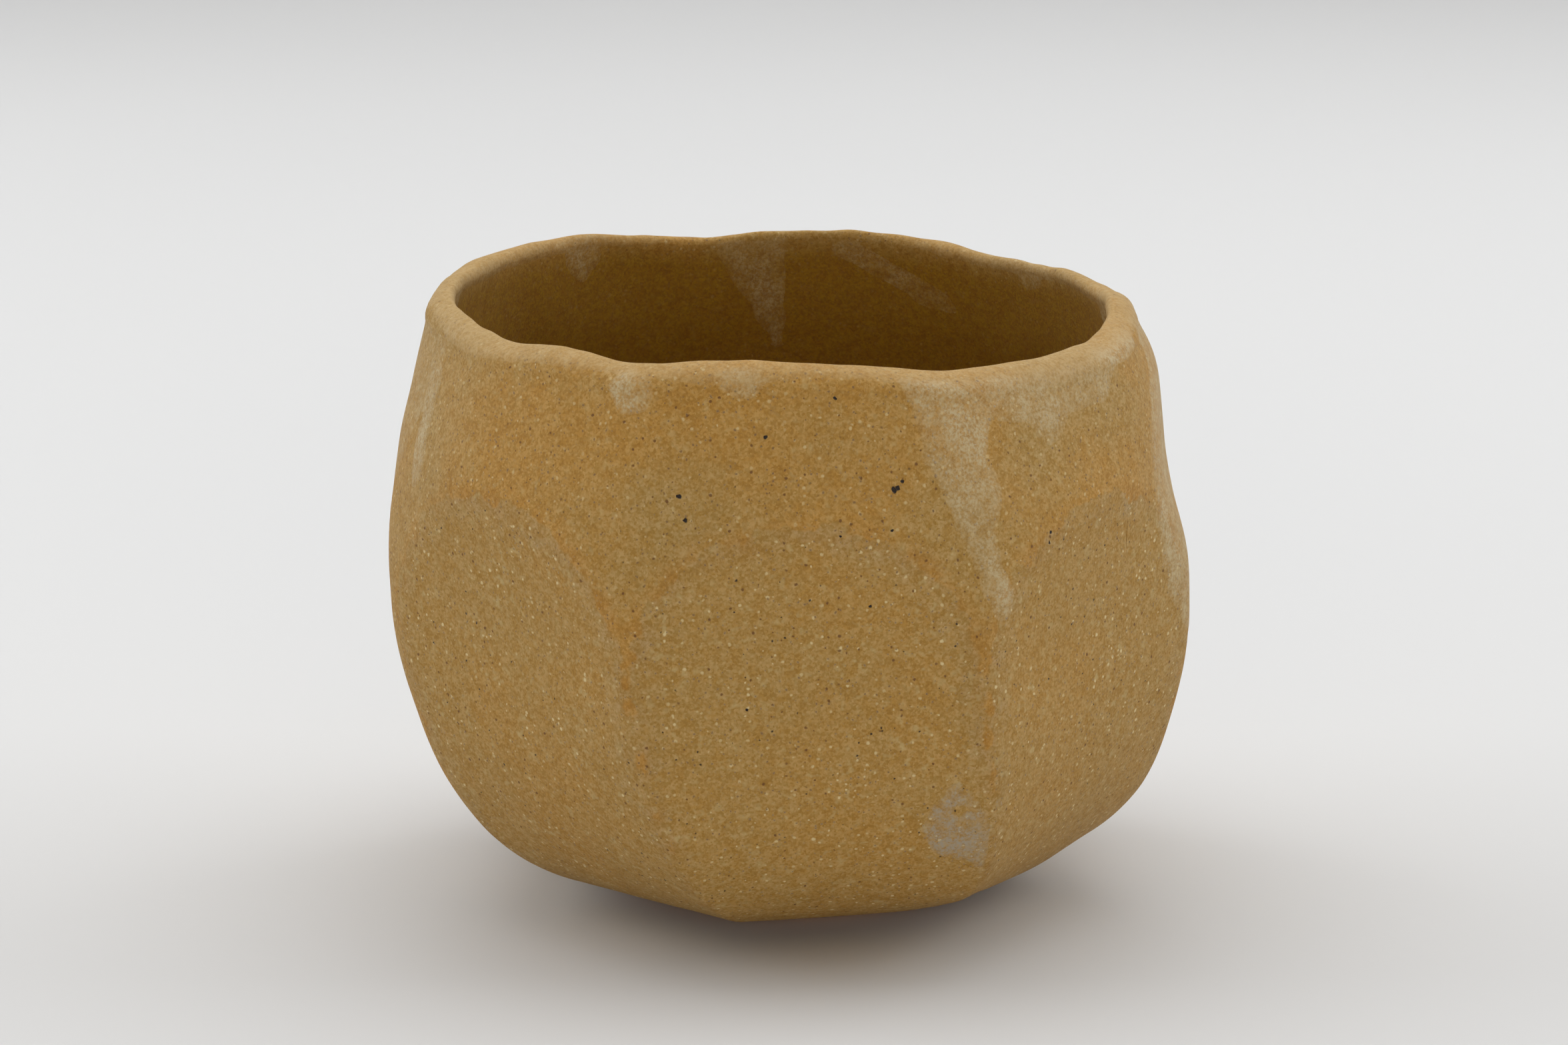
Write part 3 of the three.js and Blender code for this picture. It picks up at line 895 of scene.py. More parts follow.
@dataclass(frozen=True)
class ClayFinish:
    """Fired stoneware: mottled ochre, greyer on the knife flats, with pale grit, brown grit and open pits.

    A noise has its cell, detail and roughness; specks their cell, largest radius, bare share and, but for
    pits, strength; a pinhole its azimuth, and its height and radius in millimetres. Shares are what a ramp
    gives at its two ends, and arches are set in millimetres of gap.
    """

    maker: Maker
    tones: ClayTones = ClayTones()
    drift: Triple = (0.02, 2.0, 0.5)
    patches: Triple = (0.007, 2.0, 0.5)
    cloud: Triple = (0.0034, 2.0, 0.5)
    mottle: Triple = (0.0016, 3.0, 0.8)
    curds: Triple = (0.0011, 1.5, 0.6)
    fine: Triple = (0.00036, 1.5, 0.7)
    bend: Pair = (0.0006, 0.00038)
    grain_cell: float = 0.0003
    grain_share: float = 0.4
    grain_range: Pair = (0.2, 0.8)
    ochre_share: Pair = (0.1, 0.9)
    cut_share: Pair = (0.9, 0.5)
    ridge_share: Pair = (0.0, 0.45)
    cloud_break: Pair = (0.4, 1.0)
    drift_break: Pair = (0.5, 1.1)
    arch_waver: float = 2.4
    arch_line: Pair = (-0.2, 0.1)
    above_arch: Quad = (1.4, 0.0, 0.0, 0.6)
    below_arch: Quad = (-2.2, -0.05, 0.0, 0.75)
    inner_loss: float = 0.8
    patch_share: Pair = (0.55, 1.1)
    flat_range: Pair = (0.2, 0.9)
    flat_grit: Pair = (0.65, 1.1)
    flat_pits: Pair = (0.5, 0.95)
    curd_share: Quad = (0.54, 0.74, 0.0, 0.5)
    roughness: Pair = (0.7, 0.88)
    fine_height: float = 0.025
    mottle_height: float = 0.05
    grit_height: float = 0.03
    pale_specks: tuple[Quad, ...] = (
        (0.0008, 0.3, 0.3, 0.8), (0.0012, 0.27, 0.4, 0.9), (0.0022, 0.16, 0.5, 0.85),
    )
    brown_specks: tuple[Quad, ...] = ((0.0008, 0.29, 0.3, 0.75), (0.0014, 0.21, 0.4, 0.9))
    pits: Triple = (0.0016, 0.13, 0.45)
    pit_depth: float = 0.12
    pinholes: tuple[Triple, ...] = (
        (-14.5, 68.4, 0.34), (-13.5, 65.4, 0.35), (-2.5, 75.8, 0.33), (8.0, 81.0, 0.25), (15.3, 69.5, 0.42),
        (15.8, 69.75, 0.36), (16.6, 70.6, 0.3), (39.5, 61.7, 0.27), (39.0, 60.2, 0.25), (14.5, 64.2, 0.2),
        (7.5, 63.4, 0.18), (11.5, 53.5, 0.2), (-6.5, 39.4, 0.24), (118.0, 66.0, 0.36), (201.0, 58.0, 0.4),
        (202.0, 58.8, 0.28), (263.0, 71.0, 0.32),
    )
    pinhole_depth: float = 0.5
    pinhole_ragged: float = 0.0005
    pinhole_core: float = 0.6

    @cached_property
    def body(self) -> bpy.types.NodeTree:
        """Group for the clay body: colour, roughness and height from noises, two grits and pits.

        The flats, their arches and ridges, the inside and the bare foot each lay a tone over the ochre; the
        darker tone inside is painted shade of the hollow. Two noises tint it, and curds, grit and pits lie on
        top; the pits are painted dark, as the shade inside them.

        Returns:
            The node group.
        """
        outputs = {"Color": "NodeSocketColor", "Roughness": "NodeSocketFloat", "Height": "NodeSocketFloat"}
        g, given = new_group("fired clay", [name.title() for name in CLAY_ATTRIBUTES], outputs)
        tones, flat, inside = self.tones, given["Flat"], given["Inside"]
        drift, cloud = g.noise(*self.drift), g.noise(*self.cloud)
        mottle, fine = g.noise(*self.mottle), g.noise(*self.fine)
        bent = g.bent(*self.bend)
        _, pick = g.grains(bent, self.grain_cell)
        grain = g.scaled(pick, self.grain_share, g.times(fine, 1.0 - self.grain_share))
        edge = g.math("MULTIPLY", g.times(flat, g.math("SUBTRACT", 1.0, flat)), 4.0, clamp=True)
        broken = g.times(g.ramp(cloud, *WIDE, *self.cloud_break), g.ramp(drift, *TIGHT, *self.drift_break))
        arch = g.scaled(g.math("ADD", cloud, -0.5), self.arch_waver, given["Arch"])
        above = g.times(g.ramp(arch, *self.above_arch), g.ramp(arch, *self.arch_line), broken)
        below = g.times(g.ramp(arch, *self.below_arch), g.ramp(arch, *self.arch_line[::-1]), broken)
        colour = g.coats(
            g.mix(g.ramp(drift, *WIDE, *self.ochre_share), tones.olive, tones.ochre),
            (g.times(flat, g.ramp(drift, *TIGHT, *self.cut_share)), tones.cut),
            (above, tones.amber),
            (below, tones.chalk),
            (g.times(edge, g.ramp(cloud, *WIDE, *self.ridge_share)), tones.ridge),
            # Painted shade: the inside takes the darker hollow tone.
            (inside, tones.hollow),
            (given["Bare"], tones.toast),
        )
        for share, tints in (
            (g.ramp(mottle, *MIDDLE), tones.mottle), (g.ramp(grain, *self.grain_range), tones.grain),
        ):
            colour = g.mix(1.0, colour, g.mix(share, *tints), "MULTIPLY")
        sight = g.scaled(inside, -self.inner_loss, 1.0)
        patchy = g.times(sight, g.ramp(g.noise(*self.patches), *TIGHT, *self.patch_share))
        patchy = g.times(patchy, g.ramp(flat, *self.flat_range, *self.flat_grit))
        pale = g.times(g.scatter(bent, self.pale_specks), patchy)
        # Mask of the pits, which are painted dark as the shade inside them; the height only bumps them.
        shaded_pit = g.times(g.specks(bent, *self.pits), sight, g.ramp(flat, *self.flat_range, *self.flat_pits))
        colour = g.coats(
            colour,
            (g.times(g.ramp(g.noise(*self.curds), *self.curd_share), patchy), tones.curd),
            (pale, tones.pale_grit),
            (g.times(g.scatter(bent, self.brown_specks), sight), tones.brown_grit),
            # Painted shade of the pits.
            (shaded_pit, tones.shaded_pit),
        )
        height = g.scaled(fine, self.fine_height, g.times(mottle, self.mottle_height))
        height = g.scaled(shaded_pit, -self.pit_depth, g.scaled(pale, self.grit_height, height))
        rough = g.ramp(fine, *WIDE, *self.roughness)
        g.node("NodeGroupOutput", {"Color": colour, "Roughness": rough, "Height": height})
        return g.tree

    @cached_property
    def holes(self) -> bpy.types.NodeTree:
        """Group for the pinholes: a mask that falls from 1 to 0 with the distance from each hole's middle.

        Returns:
            The node group.
        """
        g, _ = new_group("pinholes", (), {"Mask": "NodeSocketFloat"})
        ragged = g.math("SUBTRACT", g.noise(self.pinhole_ragged, 1.0), 0.5)
        ragged = g.times(ragged, self.pinhole_ragged)
        mask: Value = 0.0
        for azimuth, z, radius in self.pinholes:
            where = self.maker.on_skin(np.array([azimuth]), np.array([self.maker.skin.outside_at(z)]))[0]
            ends = {0: g.place, 1: tuple(map(float, where))}
            away = g.node("ShaderNodeVectorMath", ends, operation="DISTANCE").outputs["Value"]
            reach = g.math("ADD", away, ragged)
            mask = g.math("MAXIMUM", mask, g.ramp(reach, radius * MM, radius * MM * self.pinhole_core))
        g.node("NodeGroupOutput", {"Mask": mask})
        return g.tree

    def surface(self, g: Graph, zone: Zone) -> tuple[Socket, Socket, Socket]:
        """Clay colour, roughness and height on a mesh that has the clay attributes.

        Args:
            g: Graph of the material.
            zone: Where the clay lies; pinholes are on the wall only.

        Returns:
            Sockets for the colour, the roughness and the height in millimetres.
        """
        inputs = {name.title(): g.attribute(name) for name in CLAY_ATTRIBUTES}
        clay = g.node("ShaderNodeGroup", inputs, node_tree=self.body).outputs
        colour, height = clay["Color"], clay["Height"]
        if zone is Zone.WALL:
            hole = g.node("ShaderNodeGroup", node_tree=self.holes).outputs["Mask"]
            # The pinholes are painted near black, as the shade inside them; their depth is only a bump.
            colour = g.mix(hole, colour, self.tones.pinhole)
            height = g.scaled(hole, -self.pinhole_depth, height)
        return colour, clay["Roughness"], height

    def material(self, zone: Zone) -> bpy.types.Material:
        """Material of bare clay.

        Args:
            zone: Where the clay lies.

        Returns:
            The new material.
        """
        material, g = new_material(f"clay_{zone.value}")
        g.shade(*self.surface(g, zone))
        return material


@dataclass(frozen=True)
class GlazeFinish:
    """Thin milky glaze over the clay, which shows through it more towards the film's edge.

    Noises, specks and shares are given as for the clay.
    """

    clay: ClayFinish
    name: str
    milk: Quad = linear(184, 165, 126)
    cream: Quad = linear(184, 155, 106)
    fleck: Quad = linear(200, 186, 154)
    strength: float = 0.5
    curds: Pair = (0.55, 1.4)
    flecks: float = 0.4
    fleck_sizes: tuple[Quad, ...] = ((0.0008, 0.27, 0.4, 0.8), (0.0014, 0.2, 0.5, 1.0))
    fleck_bend: Pair = (0.0006, 0.0003)
    gloss: float = 0.68
    edge: Triple = (0.0022, 4.0, 0.7)
    pools: Triple = (0.006, 2.0, 0.5)
    curd: Triple = (0.0016, 3.0, 0.85)
    grain: Triple = (0.0004, 1.5, 0.7)
    pool_share: Pair = (0.55, 1.2)
    grain_share: Pair = (0.55, 1.5)
    edge_waver: float = 0.7
    edge_range: Pair = (0.08, 1.0)
    lip_waver: float = 0.9
    lip_share: Quad = (0.05, 1.0, 0.0, 0.54)
    lip_grain: Pair = (0.7, 1.3)
    lip_curd: Pair = (0.8, 1.2)
    bump_left: float = 0.6

    def material(self) -> bpy.types.Material:
        """Material that turns from clay to glaze by the mesh's cover, its edge broken up by a noise.

        Returns:
            The new material.
        """
        material, g = new_material(self.name)
        colour, roughness, height = self.clay.surface(g, Zone.WALL)
        ragged = g.math("ADD", g.noise(*self.edge), -0.5)
        cover = g.ramp(g.scaled(ragged, self.edge_waver, g.attribute("cover")), *self.edge_range)
        curd, grain = g.noise(*self.curd), g.noise(*self.grain)
        thin, thick = (self.strength * share for share in self.curds)
        pooled = g.times(
            g.ramp(curd, *MIDDLE, thin, thick),
            g.ramp(g.noise(*self.pools), *TIGHT, *self.pool_share),
            g.ramp(grain, *WIDE, *self.grain_share),
        )
        fleck = g.scatter(g.bent(*self.fleck_bend), self.fleck_sizes)
        seen = g.times(cover, g.ramp(g.attribute("inside"), 0.0, 1.0, self.flecks, 0.0))
        lip = g.scaled(ragged, self.lip_waver, g.attribute("lip"))
        rubbed = g.times(g.ramp(grain, *WIDE, *self.lip_grain), g.ramp(curd, *MIDDLE, *self.lip_curd))
        rubbed = g.math("MULTIPLY", g.ramp(lip, *self.lip_share), rubbed, clamp=True)
        colour = g.coats(
            colour,
            (g.math("MULTIPLY", cover, pooled, clamp=True), self.milk),
            (g.times(fleck, seen), self.fleck),
            (rubbed, self.cream),
        )
        smooth = g.node("ShaderNodeMix", {0: cover, 2: roughness, 3: self.gloss}, data_type="FLOAT")
        height = g.times(height, g.ramp(cover, 0.0, 1.0, 1.0, self.bump_left))
        g.shade(colour, smooth.outputs[0], height)
        return material


def dress(piece: bpy.types.Object, material: bpy.types.Material, slot: str, *nodes: str) -> bpy.types.Object:
    """Gives a piece its material, sets it on the bowl's body and hides the solids that it stands for.

    Args:
        piece: The piece.
        material: Its material.
        slot: Not used.
        nodes: The solids that it stands for.

    Returns:
        The piece.
    """
    piece.data.materials.append(material)
    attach(piece, "root")
    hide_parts(*nodes)
    return piece


@dataclass
class BowlWall:
    """Wall from the luted joint up the outside, over the lip and down the inside."""

    maker: Maker
    outside_rows: int = 98
    lip_rows: int = 14
    tuck_rows: int = 8
    inside_rows: int = 66

    def build(self, clay: ClayFinish) -> bpy.types.Object:
        """Rows along the skin, closer together round the lip; the flat joint face closes the loop.

        Args:
            clay: The finish.

        Returns:
            The dressed piece.
        """
        maker, skin = self.maker, self.maker.skin
        rows = np.concatenate([
            np.linspace(skin.joint_outside, -skin.bend_outside, self.outside_rows, endpoint=False),
            np.linspace(-skin.bend_outside, 0.0, self.lip_rows, endpoint=False),
            np.linspace(0.0, skin.bend_inside, self.tuck_rows, endpoint=False),
            np.linspace(skin.bend_inside, skin.joint_inside, self.inside_rows),
        ])[:, None]
        normals = maker.joint_normals(0, len(rows) - 1)
        wall = RingMesh("bowl_wall_clay", *maker.skin_rows(rows), fixed_normals=normals).build()
        return dress(wall, clay.material(Zone.WALL), "clay_wall", "bowl_wall")


@dataclass
class BowlFloor:
    """Floor slab: underside with the foot's groove, lower flats, joint face with its groove, pool."""

    maker: Maker
    under_radii: Pair = (2.0, 9.0)
    under_rows: int = 10
    side_rows: int = 30
    pool_rows: int = 34
    pole_gap: float = 0.4

    def build(self, clay: ClayFinish) -> bpy.types.Object:
        """Section from the axis underneath round to the axis in the pool, carried round the bowl.

        Args:
            clay: The finish.

        Returns:
            The dressed piece.
        """
        maker, form, skin = self.maker, self.maker.form, self.maker.skin
        foot, joint, margin = form.foot_height, np.array(form.joint_height), form.slip_margin
        bed, top = foot + form.slip_thickness, joint - form.slip_thickness
        foot_in, foot_out = form.foot_radius - form.foot_width + margin, form.foot_radius - margin
        joint_out, joint_in = form.blank_radius(joint) - margin, form.hollow_radius(joint) + margin
        under = [(radius, foot) for radius in (*self.under_radii, foot_in)]
        under += [(foot_in, bed), (foot_out, bed), (foot_out, foot)]
        groove = [(joint_out, joint), (joint_out, top), (joint_in, top), (joint_in, joint)]
        side = np.concatenate([
            np.linspace(skin.distance[0], skin.edge, self.under_rows, endpoint=False),
            lerp(skin.edge, skin.joint_outside, np.linspace(0.0, 1.0, self.side_rows)),
        ])[:, None]
        share = np.linspace(0.0, 1.0, self.pool_rows)[:, None]
        pool = lerp(skin.joint_inside, skin.distance[-1] - self.pole_gap, share)
        rows = (
            maker.plain_rows(*np.array(under).T[..., None], 1.0),
            maker.skin_rows(side),
            maker.plain_rows(*np.array(groove).T[..., None], 0.0),
            maker.skin_rows(pool),
        )
        points = np.concatenate([part for part, _ in rows])
        values = {name: np.concatenate([part[name] for _, part in rows]) for name in CLAY_ATTRIBUTES}
        seam = len(under) + len(side) - 1
        normals = maker.joint_normals(seam, seam + len(groove) + 1)
        floor = RingMesh("bowl_floor_clay", points, values, loop=False, fixed_normals=normals).build()
        return dress(floor, clay.material(Zone.FLOOR), "clay_floor", "bowl_floor")


@dataclass
class FootRing:
    """Foot ring: a flat rest with rounded edges, and sides that flare out to the floor."""

    maker: Maker
    rest_rows: int = 10
    side_rows: int = 7
    rounding_rows: int = 6
    chatter: tuple[NoiseKind, ...] = ((0.1, 3.0, 21),)

    def build(self, clay: ClayFinish) -> bpy.types.Object:
        """Section of straight lines and quarter circles, carried round, with sides left uneven by the tool.

        Args:
            clay: The finish.

        Returns:
            The dressed piece.
        """
        maker, form = self.maker, self.maker.form
        inner, outer, rounding = form.foot_radius - form.foot_width, form.foot_radius, form.foot_rounding
        turn = np.linspace(0.0, np.pi / 2, self.rounding_rows)
        corner, lift = rounding * np.sin(turn), rounding - rounding * np.cos(turn)
        rest = np.linspace(inner + rounding, outer - rounding, self.rest_rows)[1:-1]
        rise = np.linspace(rounding, form.foot_height, self.side_rows)[1:]
        flare = form.foot_flare * (rise - rounding) / (form.foot_height - rounding)
        outside = (outer - rounding + corner, outer + flare)
        inside = (inner - flare, inner + rounding - corner)
        radius = np.concatenate([rest, *outside, *(part[::-1] for part in inside)])[:, None]
        z = np.concatenate([0.0 * rest, lift, rise, rise[::-1], lift[::-1]])[:, None]
        free = np.sin(np.pi * np.clip(z / form.foot_height, 0.0, 1.0))
        uneven = summed_noise(ring_points(radius, maker.azimuths, z), self.chatter) * free
        foot = RingMesh("foot_ring_clay", *maker.plain_rows(radius + uneven, z, 1.0)).build()
        return dress(foot, clay.material(Zone.FOOT), "clay_foot", "foot_ring")


@dataclass(frozen=True)
class Run:
    """One run of glaze, with a haze that widens the soft step at its edge.

    A knot has its distance past the lip's rounding, the middle's azimuth and the half width in degrees. A
    degree's width and the rounding are in millimetres.
    """

    knots: tuple[Triple, ...]
    strength: float = 1.0
    haze: float = 1.0
    degree: float = 0.9
    rounding: float = 0.6
    limit: float = 30.0

    @property
    def span(self) -> Pair:
        """Breadth of the whole run.

        Returns:
            The azimuth of its middle, and half its breadth.
        """
        _, middle, half = np.array(self.knots).T
        low, high = (middle - half).min(), (middle + half).max()
        return (low + high) / 2, (high - low) / 2

    def cover(self, azimuth: Array, past: Array, ragged: Array, softness: float) -> Array:
        """Cover by the run: a soft step of a soft least distance to its sides, its start and its tip.

        Args:
            azimuth: Azimuths of the points.
            past: Distances past the lip's rounding.
            ragged: Unevenness of the edge.
            softness: Half the width of the step.

        Returns:
            The cover at each point.
        """
        at, middle, half = np.array(self.knots).T
        aside = np.abs(turn_between(np.interp(past, at, middle), azimuth))
        side = np.clip((np.interp(past, at, half) - aside) * self.degree, -self.limit, self.limit)
        ends = np.exp((past - at[-1]) / self.rounding) + np.exp((at[0] - past) / self.rounding)
        inset = -self.rounding * np.log(np.exp(-side / self.rounding) + ends)
        step = softness * self.haze
        return self.strength * smoothstep(-step, step, inset + ragged)


@dataclass
class GlazeCover:
    """How thickly the lip's glaze covers the skin, from its runs and the band over the lip itself.

    A sway of the band has its height, its count round the lip and its start.
    """

    skin: Skin
    softness: float = 1.5
    inner_softness: float = 5.0
    inner_share: float = 0.68
    reach_fade: Pair = (5.0, 12.0)
    ragged: tuple[NoiseKind, ...] = ((0.55, 2.3, 31), (0.35, 5.0, 37))
    lip_sways: tuple[Triple, ...] = ((0.8, 7, 0.6), (0.5, 13, 2.0))
    lip_even: float = 0.42
    lip_front: float = 0.13
    lip_side: float = 0.46
    lip_power: float = 1.5
    lip_softness: float = 1.3
    lip_outer: float = -1.6
    lip_inner: float = 1.0
    outside: tuple[Run, ...] = (
        Run(((-3.2, -22.5, 2.6), (-0.8, -22.6, 3.8), (1.9, -22, 2)), 0.95),
        Run(((-3.4, -6.5, 3), (-1.5, -6.5, 4.4), (1, -6, 2.2)), 0.65),
        Run((
            (-3, 27, 10), (0.3, 27.2, 8.8), (2.5, 26, 6.6), (5.3, 25.3, 5.3), (8.5, 25.4, 4.9),
            (12.7, 26.9, 4.5), (18.1, 27.3, 2.9), (23.8, 27.7, 2), (27.3, 29.4, 2.2), (30.8, 29.9, 1.4),
        )),
        Run(((-3, 48, 17), (0, 46.5, 15), (2, 45.5, 13.4), (4, 45, 12)), 0.66),
        Run(((1, 44, 7.4), (3.3, 43.8, 5.6), (5.2, 43.4, 3.9), (6.9, 43, 2.5), (8.3, 42.7, 1.4)), 0.68),
        Run(((-3.4, 66, 9), (-0.6, 66, 7.5))),
        Run((
            (-3, 98, 18), (2, 95.5, 16.5), (6, 91.5, 18), (12, 87, 18.8), (19, 83, 15.5),
            (25, 80.5, 12.9), (30, 79.5, 10.2), (34, 79.5, 8.8), (38.5, 79.5, 6.6), (43, 80, 3.6),
        ), 0.8),
        Run(((-3, -81, 17), (4, -81, 15.5), (9, -81.5, 13), (15, -82, 10), (24, -84, 4)), 0.45, 2.4),
        Run(((3, -69, 2.4), (9, -68.5, 2.7), (15, -68, 2.4), (20, -68, 1.4)), 0.85),
        Run(((-3, 121, 9), (1, 120, 5), (4, 119.5, 3), (8, 119, 2.2))),
        Run(((-3, 152, 14), (1, 151, 9), (5, 151.5, 5), (11, 152.5, 3.4), (16, 153, 2))),
        Run(((-3, 186, 12), (0.5, 187, 8), (3, 188, 4))),
        Run(((-3, 217, 13), (1, 216, 7), (5, 215.5, 3.6), (9.5, 216, 2))),
        Run(((-3, 250, 10), (1, 251, 6), (3.5, 252, 3))),
    )
    inside: tuple[Run, ...] = (
        Run(((-1, 12, 7), (6, 12, 4.5), (11, 12, 2))),
        Run(((-1, 60, 6), (6, 61, 2.5))),
        Run(((-1, 98, 6), (8, 98, 2.4))),
        Run(((-1, 127.5, 5), (3, 127.5, 3.2))),
        Run(((-1, 173, 5), (3.1, 164, 7.5), (6.6, 154.5, 7.5), (11.5, 147, 4.5)), 0.85, 1.5),
        Run(((-1, 186.5, 8), (6, 184.5, 5.4), (12, 182.5, 3.4), (17.6, 181, 1.6))),
        Run(((-1, 220, 5.4), (2.6, 220.3, 4.4), (6.2, 220, 1.4))),
        Run(((-1, 268, 6), (7, 267, 2.4))),
        Run(((-1, 306, 6), (5, 306, 2.4))),
    )

    def reach(self, azimuth: Array, runs: tuple[Run, ...], least: float, margin: float) -> Array:
        """How far the film has to reach past the lip's rounding to hold every run.

        Args:
            azimuth: Azimuths of the columns.
            runs: The runs on one side.
            least: Reach where there is no run.
            margin: Spare reach beyond a run.

        Returns:
            The reach at each azimuth.
        """
        reach = np.full_like(azimuth, least)
        near, far = self.reach_fade
        for run in runs:
            middle, half = run.span
            share = 1.0 - smoothstep(half + near, half + far, np.abs(turn_between(middle, azimuth)))
            reach = np.maximum(reach, lerp(least, run.knots[-1][0] + margin, share))
        return reach

    def past(self, distance: Array) -> tuple[Array, Array]:
        """Distances past the lip's rounding, outside and inside."""
        return -distance - self.skin.bend_outside, distance - self.skin.bend_inside

    def cover(self, azimuth: Array, distance: Array) -> Array:
        """Cover of the whole film: the strongest of all runs of the side.

        Args:
            azimuth: Azimuths of the points.
            distance: Distances from the crest.

        Returns:
            The cover at each point.
        """
        radius, z = self.skin.section(distance)
        ragged = summed_noise(ring_points(radius, azimuth, z), self.ragged)
        outer, inner = self.past(distance)
        cover = np.zeros_like(ragged)
        for runs, past, softness, share in (
            (self.outside, outer, self.softness, 1.0 * (distance < 0)),
            (self.inside, inner, self.inner_softness, self.inner_share * (distance >= 0)),
        ):
            for run in runs:
                cover = np.maximum(cover, share * run.cover(azimuth, past, ragged, softness))
        return cover

    def lip(self, azimuth: Array, distance: Array) -> Array:
        """How milky the lip itself is: a soft band over its rounding, stronger at the sides than in front.

        Args:
            azimuth: Azimuths of the points.
            distance: Distances from the crest.

        Returns:
            The share at each point.
        """
        outer, inner = self.past(distance)
        turn = np.radians(azimuth)
        sway = sum(height * np.cos(turn * count + start) for height, count, start in self.lip_sways)
        side = self.lip_side * np.abs(np.sin(turn)) ** self.lip_power
        band = np.minimum(-outer + self.lip_outer + sway, self.lip_inner - inner)
        strength = self.lip_even + self.lip_front * np.cos(turn) + side
        return strength * smoothstep(-self.lip_softness, self.lip_softness, band)


@dataclass
class RimGlaze:
    """Film of glaze over the lip, with runs down the outside and the inside.

    A reach has its least and its spare beyond a run.
    """

    maker: Maker
    outside_rows: int = 46
    lip_rows: int = 10
    tuck_rows: int = 6
    inside_rows: int = 30
    under_step: int = 3
    outer_reach: Pair = (2.0, 2.5)
    inner_reach: Pair = (3.0, 4.5)
    thickness: float = 0.16
    rise: Pair = (0.05, 1.0)
    sink: float = 0.05
    depth: float = 0.5
    fading: float = 2.0

    def build(self, clay: ClayFinish) -> bpy.types.Object:
        """Upper face raised by the cover, and a lower face sunk into the clay that closes the film.

        Args:
            clay: The finish of the clay under the film.

        Returns:
            The dressed piece.
        """
        maker, skin, cover = self.maker, self.maker.skin, GlazeCover(self.maker.skin)
        azimuth = maker.azimuths
        outer = cover.reach(azimuth, cover.outside, *self.outer_reach)
        inner = cover.reach(azimuth, cover.inside, *self.inner_reach)
        upper = np.concatenate([
            -skin.bend_outside - outer * (1.0 - steps(self.outside_rows)),
            -skin.bend_outside * (1.0 - steps(self.lip_rows)) + 0.0 * azimuth,
            skin.bend_inside * steps(self.tuck_rows) + 0.0 * azimuth,
            skin.bend_inside + inner * np.linspace(0.0, 1.0, self.inside_rows)[:, None],
        ])
        lower = upper[-2 : 0 : -self.under_step]
        spare = np.minimum(outer + skin.bend_outside + upper, inner + skin.bend_inside - upper)
        thick = cover.cover(azimuth, upper) * smoothstep(0.0, self.fading, spare)
        film = smoothstep(*self.rise, np.maximum(thick, cover.lip(azimuth, upper)))
        raised = np.concatenate([self.thickness * film - self.sink, np.full_like(lower, -self.depth)])
        distance = np.concatenate([upper, lower])
        values = maker.clay_attributes(azimuth, distance)
        values["cover"] = np.concatenate([thick, np.zeros_like(lower)])
        values["lip"] = cover.lip(azimuth, distance)
        points = maker.on_skin(azimuth, distance, raised)
        piece = RingMesh("rim_glaze_film", points, values, sharp=FILM_SHARP).build()
        return dress(piece, GlazeFinish(clay, "pale_glaze").material(), "pale_glaze", "rim_glaze")


